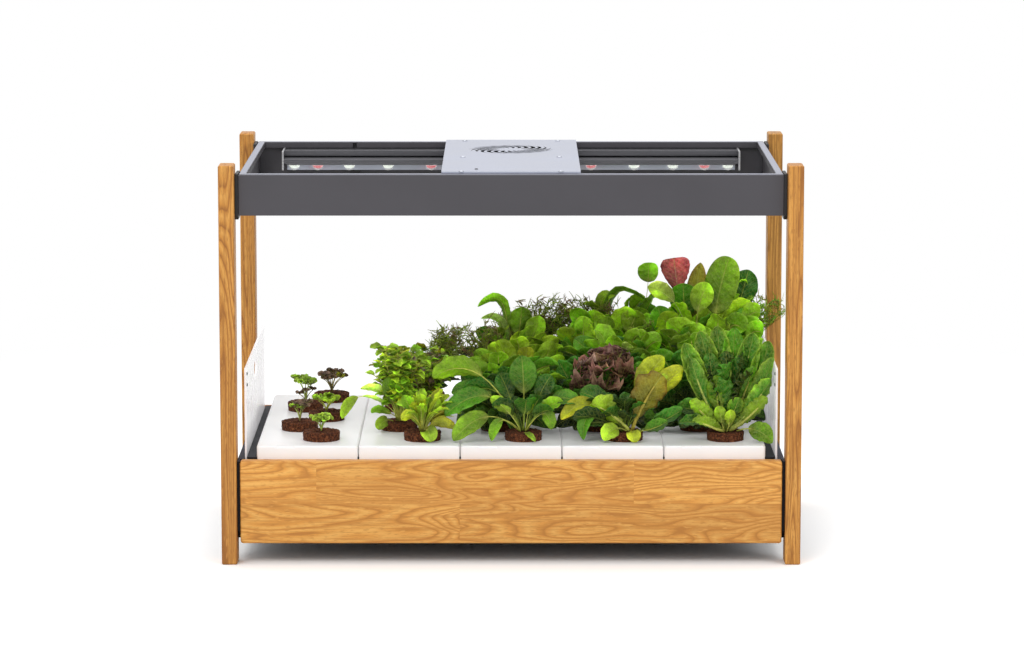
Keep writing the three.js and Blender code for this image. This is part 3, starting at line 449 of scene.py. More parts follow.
class Build:
    """Gathers closed shells into one mesh, each vertex with its blade place and tint."""

    def __init__(self):
        self.points = []
        self.faces = []
        self.blades = []
        self.tints = []
        self.count = 0

    def add(self, points, faces, blades=(0.0, 0.0, 0.0), tints=(1.0, 1.0, 1.0)):
        """One shell. A single blade place or tint holds for all its points."""
        size = len(points)
        self.points.append(np.asarray(points, float))
        self.blades.append(np.broadcast_to(blades, (size, 3)))
        self.tints.append(np.array(np.broadcast_to(tints, (size, 3)), float))
        self.faces.extend(tuple(i + self.count for i in face) for face in faces)
        self.count += size

    def tube(self, path, radii, sides, tint=(1.0, 1.0, 1.0)):
        """A closed tube along a path, with one radius for each of its points."""
        path = np.asarray(path, float)
        way = np.gradient(path, axis=0)
        way /= np.linalg.norm(way, axis=1, keepdims=True)
        up = np.where(np.abs(way[:, 2:3]) > 0.9, [[1.0, 0.0, 0.0]], [[0.0, 0.0, 1.0]])
        across = np.cross(way, up)
        across /= np.linalg.norm(across, axis=1, keepdims=True)
        turns = np.arange(sides)[None, :, None] * 2 * math.pi / sides
        ring = np.cos(turns) * across[:, None] + np.sin(turns) * np.cross(way, across)[:, None]
        points = path[:, None] + ring * np.asarray(radii)[:, None, None]
        last = (len(path) - 1) * sides
        ends = [tuple(reversed(range(sides))), tuple(range(last, last + sides))]
        self.add(points.reshape(-1, 3), band(len(path), sides) + ends, (0.0, 1.0, 0.0), tint)

    def sheet(self, grid, thickness, blades, tints):
        """A closed thin sheet over a grid of points, rows by columns."""
        rows, cols, _ = grid.shape
        normal = np.cross(np.gradient(grid, axis=0), np.gradient(grid, axis=1))
        normal /= np.linalg.norm(normal, axis=2, keepdims=True) + 1e-12
        top = (grid + normal * thickness / 2).reshape(-1, 3)
        bottom = (grid - normal * thickness / 2).reshape(-1, 3)
        size = rows * cols
        faces = []
        for a in (r * cols + c for r in range(rows - 1) for c in range(cols - 1)):
            quad = (a, a + cols, a + cols + 1, a + 1)
            faces += [quad, tuple(i + size for i in reversed(quad))]
        index = np.arange(size).reshape(rows, cols)
        border = [*index[0], *index[1:, -1], *index[-1, -2::-1], *index[-2:0:-1, 0]]
        for a, b in zip(border, border[1:] + border[:1]):
            faces.append((a, b, b + size, a + size))
        blades, tints = (np.tile(values.reshape(-1, 3), (2, 1)) for values in (blades, tints))
        self.add(np.concatenate([top, bottom]), faces, blades, tints)

    def turned(self, rings, centre=(0, 0, 0), steps=32):
        """A lathe form about Z from (radius, height) rings, closed at both ends."""
        angles = np.arange(steps) * 2 * math.pi / steps
        points = [(0.0, 0.0, rings[0][1])]
        for radius, height in rings:
            points.extend((radius * math.cos(t), radius * math.sin(t), height) for t in angles)
        points.append((0.0, 0.0, rings[-1][1]))
        last = 1 + (len(rings) - 1) * steps
        faces = band(len(rings), steps, 1)
        for i in range(steps):
            after = (i + 1) % steps
            faces += [(0, 1 + after, 1 + i), (last + i, last + after, len(points) - 1)]
        self.add(np.asarray(points) + np.asarray(centre), faces)

    def block(self, low, high):
        xs, ys, zs = zip(low, high)
        points = [(x, y, z) for x in xs for y in ys for z in zs]
        faces = [(0, 1, 3, 2), (4, 6, 7, 5), (0, 4, 5, 1), (2, 3, 7, 6), (0, 2, 6, 4), (1, 5, 7, 3)]
        self.add(points, faces)

    def shade(self, height):
        """Deepens the tints towards the foot, where little light reaches old leaves."""
        for points, tints in zip(self.points, self.tints):
            share = np.clip(points[:, 2:3] / height, 0, 1)
            tints *= FOOT_LIGHT + (1 - FOOT_LIGHT) * share * share * (3 - 2 * share)

    def object(self, name, hold=None):
        """The mesh as an object, its points first drawn to where hold allows them."""
        points = np.concatenate(self.points)
        made = mesh_object(name, points if hold is None else hold(points), self.faces)
        mesh = made.data
        blade = mesh.attributes.new("blade", "FLOAT_VECTOR", "POINT")
        blade.data.foreach_set("vector", np.concatenate(self.blades).astype(np.float32).ravel())
        tint = mesh.attributes.new("tint", "FLOAT_COLOR", "POINT")
        colours = np.concatenate(self.tints)
        colours = np.concatenate([colours, np.ones((len(colours), 1))], axis=1)
        tint.data.foreach_set("color", colours.astype(np.float32).ravel())
        return made


def bevel(made, width):
    """Breaks the edges of a hard piece and keeps its flat faces flat."""
    weld = made.modifiers.new("weld", "WELD")
    weld.merge_threshold = WELD_DISTANCE
    edges = made.modifiers.new("edges", "BEVEL")
    edges.width = width
    edges.segments = 2
    edges.limit_method = "ANGLE"
    edges.angle_limit = BEVEL_ANGLE
    normals = made.modifiers.new("normals", "WEIGHTED_NORMAL")
    normals.keep_sharp = False


# Leaves

@dataclass(frozen=True)
class Tint:
    """A plant's colours: the blade's face, its rim, and the stalk."""
    face: np.ndarray
    rim: np.ndarray
    stalk: np.ndarray


def tint(*codes):
    return Tint(*(np.asarray(linear(code)) for code in codes))


@dataclass(frozen=True)
class Kind:
    """A leaf's form, in shares of its length and half width."""
    bare: float = 0.25
    widest: float = 0.55
    blunt: float = 0.5
    fold: float = 0.25
    cup: float = 0.0
    ruffle: float = 0.06
    waves: float = 4.0
    lobes: float = 0.0
    lobe_depth: float = 0.0
    blister: float = 0.0
    stalk: float = 0.05
    rows: int = 15
    cols: int = 9


PADDLE = Kind(bare=0.34, widest=0.54, blunt=0.66, fold=0.3, cup=0.05, ruffle=0.1, blister=0.03, rows=17)
ROUND = Kind(bare=0.3, widest=0.5, blunt=0.42, fold=0.18, cup=0.14, ruffle=0.07, waves=2.0, rows=11, cols=7)
SMALL = Kind(bare=0.2, widest=0.5, blunt=0.6, fold=0.35, ruffle=0.14, waves=2.0, lobes=2.0, lobe_depth=0.2,
             stalk=0.04, rows=9, cols=5)
CRINKLED = Kind(bare=0.3, widest=0.54, blunt=0.6, fold=0.26, cup=-0.12, ruffle=0.1, waves=3.0, blister=0.05,
                rows=22, cols=11)
CUPPED = Kind(widest=0.52, blunt=0.52, fold=0.16, cup=0.34, ruffle=0.1, blister=0.08, rows=20, cols=13)
ROMAINE = Kind(bare=0.06, widest=0.64, fold=0.2, cup=0.3, ruffle=0.2, waves=7.0, blister=0.09, stalk=0.16,
               rows=40, cols=17)
FRILLED = Kind(bare=0.1, widest=0.7, blunt=0.2, fold=0.05, cup=0.5, ruffle=0.26, waves=6.0, blister=0.14,
               stalk=0.08, rows=34, cols=17)
FAN = Kind(bare=0.7, widest=0.8, blunt=0.22, fold=0.08, cup=0.1, ruffle=0.2, waves=6.0, blister=0.12,
           stalk=0.16, rows=22, cols=19)
OAKEN = Kind(bare=0.2, widest=0.62, blunt=0.46, fold=0.14, cup=0.15, ruffle=0.14, lobes=3.0, lobe_depth=0.22,
             blister=0.05, stalk=0.08, rows=24, cols=11)
STRAP = Kind(bare=0.18, widest=0.5, blunt=0.7, fold=0.35, ruffle=0.08, waves=3.0, rows=17, cols=7)
LONG = replace(PADDLE, bare=0.46, blunt=0.62)
RAISED = replace(CRINKLED, bare=0.62)
SPOON = replace(CRINKLED, bare=0.82, blunt=0.4)

FRONT = np.array([0.0, -1.0, 0.0])
GOLDEN_ANGLE = math.radians(137.5)
GOLDEN_SHARE = 0.618034
STALK_RADII = (0.55 * MM, 2.2 * MM)
BRIGHTNESS = (0.68, 1.4)
HALF_SHADE = 0.2
FROND_DEPTH = 24
CANOPY_LOW = 0.3
MOST_BARE = 0.86


def circle(angle):
    return np.array([math.cos(angle), math.sin(angle), 0.0])


def pick(rng, choices):
    return choices[rng.integers(len(choices))]


def unit(rows):
    return rows / np.linalg.norm(rows, axis=1, keepdims=True)


def bezier(base, bend, tip, shares):
    """Places along a curve and the way that it runs there."""
    t = np.atleast_1d(shares)[:, None]
    place = (1 - t) ** 2 * base + 2 * t * (1 - t) * bend + t**2 * tip
    return place, unit(2 * (1 - t) * (bend - base) + 2 * t * (tip - bend))


def outline(kind, t):
    """Half width along the blade as a share of the widest."""
    low = kind.blunt * kind.widest / (1 - kind.widest)
    peak = kind.widest**low * (1 - kind.widest) ** kind.blunt
    body = np.clip(t, 0, 1) ** low * np.clip(1 - t, 0, 1) ** kind.blunt / peak
    width = np.maximum(body, kind.stalk * (1 - t))
    notch = 0.5 - 0.5 * np.cos(2 * math.pi * kind.lobes * t)
    return width * (1 - kind.lobe_depth * notch**1.4)


def leaf_frame(way, outward, shown, turn):
    """Directions across and up from the blade at each place along it."""
    flat = np.cross(outward / np.linalg.norm(outward), (0.0, 0.0, 1.0))
    across = unit(flat - (way @ flat)[:, None] * way)
    sideways = np.cross(way, FRONT)
    sideways /= np.linalg.norm(sideways, axis=1, keepdims=True) + 1e-9
    sideways *= np.where(np.sum(across * sideways) < 0, -1.0, 1.0)
    across = unit((1 - shown) * across + shown * sideways)
    up = np.cross(across, way)
    return across * np.cos(turn) + up * np.sin(turn), up * np.cos(turn) - across * np.sin(turn)


def leaf_tints(colours, t, v, side, rng):
    """Each place's colour: the face, its rim, its foot in painted shade and the stalk's colour, one half in
    painted half-shade.
    """
    rim = np.clip(side**3 * 0.9 + 0.25 * (t - 0.6), 0, 1)
    foot = np.clip(1 - t * 3.2, 0, 1) ** 1.5 * np.exp(-side * 2.5)
    bright = rng.uniform(*BRIGHTNESS) * np.array([rng.uniform(0.92, 1.12), 1.0, rng.uniform(0.7, 1.05)])
    tints = colours.face * bright * (1 - rim) + colours.rim * bright * rim
    # Painted shade: the blade darkens towards its foot, and one half lies in half-shade.
    foot_shade = np.clip(0.4 + 1.05 * t, 0, 1.14)
    lit = 1 + rng.choice((-HALF_SHADE, HALF_SHADE)) * np.tanh(5 * v)
    return tints * foot_shade * lit * (1 - foot) + colours.stalk * foot


def add_leaf(build, rng, kind, base, bend, tip, width, colours, shown=0.0, roll=0.0, twist=0.0, thick=0.45):
    """One leaf on its stalk, in millimetres from the plug's top. Shown turns its face to the front."""
    base, bend, tip = (np.asarray(p, float) * MM for p in (base, bend, tip))
    half = width * MM / 2
    t = 0.5 - 0.5 * np.cos(math.pi * np.linspace(0.0, 1.0, kind.rows))
    along = kind.bare + (1 - kind.bare) * t
    place, way = bezier(base, bend, tip, along)
    outward = (tip - base) * (1, 1, 0)
    if np.linalg.norm(outward) < 3 * MM:
        outward = circle(rng.uniform(0, 2 * math.pi))
    across, up = leaf_frame(way, outward, shown, (roll + twist * t)[:, None])
    phase = rng.uniform(0, 2 * math.pi, 4)
    reach = (half * outline(kind, t))[:, None]
    t = t[:, None]
    v = np.linspace(-1.0, 1.0, kind.cols)[None, :]
    side = np.abs(v)
    wave = np.sin(2 * math.pi * kind.waves * t + np.where(v > 0, phase[0], phase[1]))
    wave += 0.45 * np.sin(4.7 * math.pi * kind.waves * t + np.where(v > 0, phase[1], phase[2]))
    swell = np.sin(14.0 * t + 5.5 * v + phase[2]) * np.sin(9.0 * v + 17.0 * t + phase[3])
    lift = kind.fold * side + kind.cup * side**2 + kind.ruffle * side**2.4 * wave + kind.blister * swell
    lateral = v * (1 - 0.3 * kind.cup * side**2) * reach
    rise = lift * np.minimum(reach, half) + kind.ruffle * 0.15 * half * side**3 * wave
    grid = place[:, None] + across[:, None] * lateral[:, :, None] + up[:, None] * rise[:, :, None]
    blades = np.stack(np.broadcast_arrays(t, v, rng.uniform()), axis=2)
    t, v, side = (values[:, :, None] for values in (t, v, side))
    build.sheet(grid, thick * MM, blades, leaf_tints(colours, t, v, side, rng))
    shares = np.linspace(0.0, kind.bare + (1 - kind.bare) * 0.72, 10)
    stem, _ = bezier(base, bend, tip, shares)
    radii = np.clip(half * kind.stalk * 1.5, *STALK_RADII) * (1 - 0.82 * shares)
    under = np.minimum(1, np.interp(shares, [0, kind.bare, 1], [0, 0, 1]) * 4)
    below = up[np.interp(shares, along, np.arange(kind.rows)).astype(int)]
    build.tube(stem - below * (radii * under * 0.8)[:, None], radii, 5, colours.stalk * 0.9)


def grown(form):
    """Lets a form's values be given first, and its build and random numbers later."""
    return lambda *values, **named: lambda build, rng: form(build, rng, *values, **named)


@grown
def rosette(build, rng, kind, colours, leaves, height, reach, width, lean=(0, 0, 0), depth=0.8):
    """Leaves in a spiral round the heart: upright inside, spreading outside."""
    lean = np.asarray(lean, float)
    for i in range(leaves):
        outer = (i + 0.5) / leaves
        way = circle(i * GOLDEN_ANGLE + rng.uniform(-0.2, 0.2)) * (1, depth, 1)
        length = 1.0 + rng.uniform(-0.12, 0.12)
        far = reach * (0.42 + 0.58 * outer) * length
        top = height * (1.0 - 0.58 * outer**1.6) * length
        bend = way * far * 0.45 + lean * 0.6 + (0, 0, top * (0.7 + 0.5 * outer))
        tip = way * far + lean + (0, 0, top)
        colour = pick(rng, colours)
        size = width * rng.uniform(0.85, 1.15)
        add_leaf(build, rng, kind, way * 3.0 + lean * 0.05, bend, tip, size, colour, 0.35,
                 rng.uniform(-0.3, 0.3), rng.uniform(-0.3, 0.3))


@grown
def herb(build, rng, colours, stems, height, reach, width, pairs=5, lean=0.0):
    """Thin stems that fan out, each with small leaves up its length and a tuft on top."""
    for i in range(stems):
        angle = i * GOLDEN_ANGLE + rng.uniform(-0.3, 0.3)
        way = circle(angle) * (1, 0.9, 1)
        spread = reach * rng.uniform(0.35, 1.0)
        top = height * rng.uniform(0.6, 1.0)
        base = way * 2.0
        tip = way * spread + (lean, 0, top)
        bend = way * spread * 0.35 + (lean * 0.4, 0, top * 0.65)
        shares = np.linspace(0, 1, 8)
        stem, _ = bezier(base * MM, bend * MM, tip * MM, shares)
        build.tube(stem, (0.8 - 0.45 * shares) * MM, 5, colours[0].stalk * 0.9)
        for k in range(pairs):
            share = np.clip(0.3 + 0.7 * (k + rng.uniform(-0.2, 0.2)) / (pairs - 1), 0.2, 1.0)
            here = bezier(base, bend, tip, share)[0][0]
            for sign in (-1, 1):
                out = circle(angle + k * 1.9 + sign * rng.uniform(0.9, 1.9))
                size = width * rng.uniform(0.7, 1.15)
                leaf_tip = here + out * size * rng.uniform(1.2, 1.7) + (0, 0, size * rng.uniform(-0.2, 0.8))
                leaf_bend = here + out * size * 0.7 + (0, 0, size * rng.uniform(0.3, 0.8))
                add_leaf(build, rng, SMALL, here, leaf_bend, leaf_tip, size, pick(rng, colours), 0.3,
                         rng.uniform(-0.4, 0.4), thick=0.35)


def filled(rng, i, count, low, spread, profile):
    """The next place that fills a plant's outline from the front: its share of the height, x and top.

    The profile holds the outline's heights, evenly spaced over the spread from left to right.
    """
    left, right = spread
    share = low + (1 - low) * ((i + 0.5) / count) ** 0.8
    x = left + (right - left) * ((i * GOLDEN_SHARE + rng.uniform(-0.04, 0.04)) % 1.0)
    return share, x, np.interp(x, np.linspace(left, right, len(profile)), profile)


@grown
def canopy(build, rng, kinds, colours, leaves, spread, profile, width, blade=44, depth=30):
    """Leaves whose tips fill the plant's outline: low ones first in darker colours as painted shade, bright
    ones on top.
    """
    for i in range(leaves):
        share, x, top = filled(rng, i, leaves, CANOPY_LOW, spread, profile)
        top *= share
        y = -depth * (1.15 - share) + rng.uniform(-8, 8)
        tip = np.array([x, y, top])
        sag = 0.3 * abs(x - sum(spread) / 2) / (spread[1] - spread[0])
        bend = np.array([0.45 * x, 0.3 * y + 4, top * (0.8 + sag + rng.uniform(-0.4, 0.2))])
        length = (np.linalg.norm(bend) + np.linalg.norm(tip - bend) + np.linalg.norm(tip)) / 2
        size = rng.uniform(0.78, 1.22)
        kind = pick(rng, kinds)
        form = replace(kind, bare=min(MOST_BARE, max(kind.bare, 1 - blade * size / length)))
        # Painted shade: lower leaves take the darker colours.
        rank = int(np.clip(share * len(colours) - 0.5 + rng.normal(0, 0.55), 0, len(colours) - 1))
        roll, twist = rng.uniform(-0.45, 0.45), rng.uniform(-0.4, 0.4)
        add_leaf(build, rng, form, (0.04 * x, 0, 0), bend, tip, width * size, colours[rank],
                 rng.uniform(0.35, 0.8), roll, twist)


@grown
def skirt(build, rng, colours, leaves, reach, width, lean):
    """Low leaves fanned round the front of a plant, whose tips nearly rest on the tray."""
    for i in range(leaves):
        way = circle(math.pi * (1 + (i + 0.5) / leaves)) * (1, 0.6, 1)
        far = reach * rng.uniform(0.75, 1.05)
        bend = way * far * 0.5 + (lean, 0, rng.uniform(12, 26))
        tip = way * far + (lean, 0, rng.uniform(-9, 7))
        size = width * rng.uniform(0.85, 1.15)
        colour = pick(rng, colours)
        roll = rng.uniform(-0.3, 0.3)
        add_leaf(build, rng, PADDLE, (0, 0, 0), bend, tip, size, colour, rng.uniform(0.4, 0.7), roll)


def thread_leaf(build, rng, colours, base, bend, tip, length, thick=0.6, sprigs=8):
    """A dill-like frond: a thin stem with curved, forked threads to both sides."""
    def thread(start, arch, end, root, taper, shade):
        path, _ = bezier(start * MM, arch * MM, end * MM, steps)
        build.tube(path, (root - taper * steps) * thick * MM, 3, shade)

    shares = np.linspace(0, 1, 9)
    steps = np.linspace(0, 1, 4)
    base, bend, tip = (np.asarray(p, float) for p in (base, bend, tip))
    stem, _ = bezier(base * MM, bend * MM, tip * MM, shares)
    build.tube(stem, (1.5 - 0.8 * shares) * thick * MM, 4, colours.stalk * 0.8)
    for k in range(sprigs):
        (here,), (way,) = bezier(base, bend, tip, 0.4 + 0.6 * k / (sprigs - 1))
        for side in (colours.rim, colours.face):
            out = circle(rng.uniform(0, 2 * math.pi)) * 0.9 + way * 0.5
            far = here + out * length * rng.uniform(0.6, 1.0) * (1.15 - 0.5 * k / sprigs)
            arch = (here + far) / 2 + (0, 0, length * rng.uniform(0.1, 0.4))
            shade = side * rng.uniform(0.7, 1.3)
            thread(here, arch, far, 1.25, 0.75, shade)
            for share in (0.45, 0.65, 0.85):
                fork = bezier(here, arch, far, share)[0][0]
                end = fork + rng.normal(0, 0.3, 3) * length
                thread(fork, (fork + end) / 2 + (0, 0, length * 0.1), end, 1.0, 0.6, shade)


@grown
def threads(build, rng, colours, fronds, spread, profile, length=12, low=0.45):
    """Fine forked fronds whose tips fill the plant's outline from the front."""
    for i in range(fronds):
        share, x, top = filled(rng, i, fronds, low, spread, profile)
        top = (top - 0.4 * length) * share
        y = rng.uniform(-FROND_DEPTH, 0.6 * FROND_DEPTH)
        bend = (0.5 * x, 0.4 * y, top * rng.uniform(0.55, 0.85))
        thread_leaf(build, rng, pick(rng, colours), (0.03 * x, 0, 0), bend, (x, y, top), length)


@grown
def seedling(build, rng, colours, height, reach, stems, width):
    """A tuft of seedlings: short pale stems, each with five plump leaves."""
    for i in range(stems):
        angle = i * GOLDEN_ANGLE + rng.uniform(0, 1)
        tip = circle(angle) * reach * rng.uniform(0.3, 0.9) + (0, 0, height * rng.uniform(0.55, 0.85))
        shares = np.linspace(0, 1, 6)
        stem, _ = bezier(np.zeros(3), tip * (0.25, 0.25, 0.7) * MM, tip * MM, shares)
        build.tube(stem, (0.7 - 0.3 * shares) * MM, 5, colours.stalk)
        for k in range(5):
            out = circle(angle + k * 1.3 + rng.uniform(-0.4, 0.4))
            size = width * rng.uniform(0.8, 1.2)
            leaf_tip = tip + out * size * 0.9 + (0, 0, size * rng.uniform(0.1, 0.7))
            leaf_bend = tip + out * size * 0.4 + (0, 0, size * 0.5)
            add_leaf(build, rng, SMALL, tip, leaf_bend, leaf_tip, 0.8 * size, colours, 0.5,
                     rng.uniform(-0.4, 0.4), thick=0.4)


# Plants, with their colours: the leaf's face, its rim and its stalk

LIME = tint(0x94bc30, 0xa8ca44, 0xc8d07c)
YELLOW_LIME = tint(0xb0c430, 0xbcca40, 0xced064)
GREEN = tint(0x78ac20, 0x90be34, 0xc2c870)
DEEP = tint(0x4e8c1c, 0x60a02c, 0xb2bc60)
DARK = tint(0x2a6418, 0x367420, 0x86a04a)
SHADE = tint(0x193f10, 0x224c14, 0x5a7434)
OLIVE = tint(0x9aa02c, 0x948a2a, 0xc2bc58)
BRONZE = tint(0x8c8430, 0x80602c, 0xc0b05a)
BURGUNDY = tint(0x3c1a22, 0x986a7e, 0x6c7038)
MAUVE = tint(0x5e343e, 0xb48c9c, 0x84804c)
PLUM = tint(0x7a6270, 0x6a5060, 0x94886c)
PALE = tint(0xb0d078, 0xc6de94, 0xdce8b0)
ROSE = tint(0xc0607c, 0xb44c6c, 0xdc98a8)
FEATHER_GREEN = tint(0xa0b84c, 0x94a05c, 0xacb868)
FEATHER_OLIVE = tint(0x9ea654, 0x90746c, 0xaeac6c)
ROMAINE_GREEN = tint(0x3c7a1c, 0x92b84c, 0xc0d07c)
ROMAINE_HEART = tint(0x1c5216, 0x4c8430, 0x8cac58)
SEEDLING = tint(0x96b84c, 0xa2c45c, 0xb6cc80)
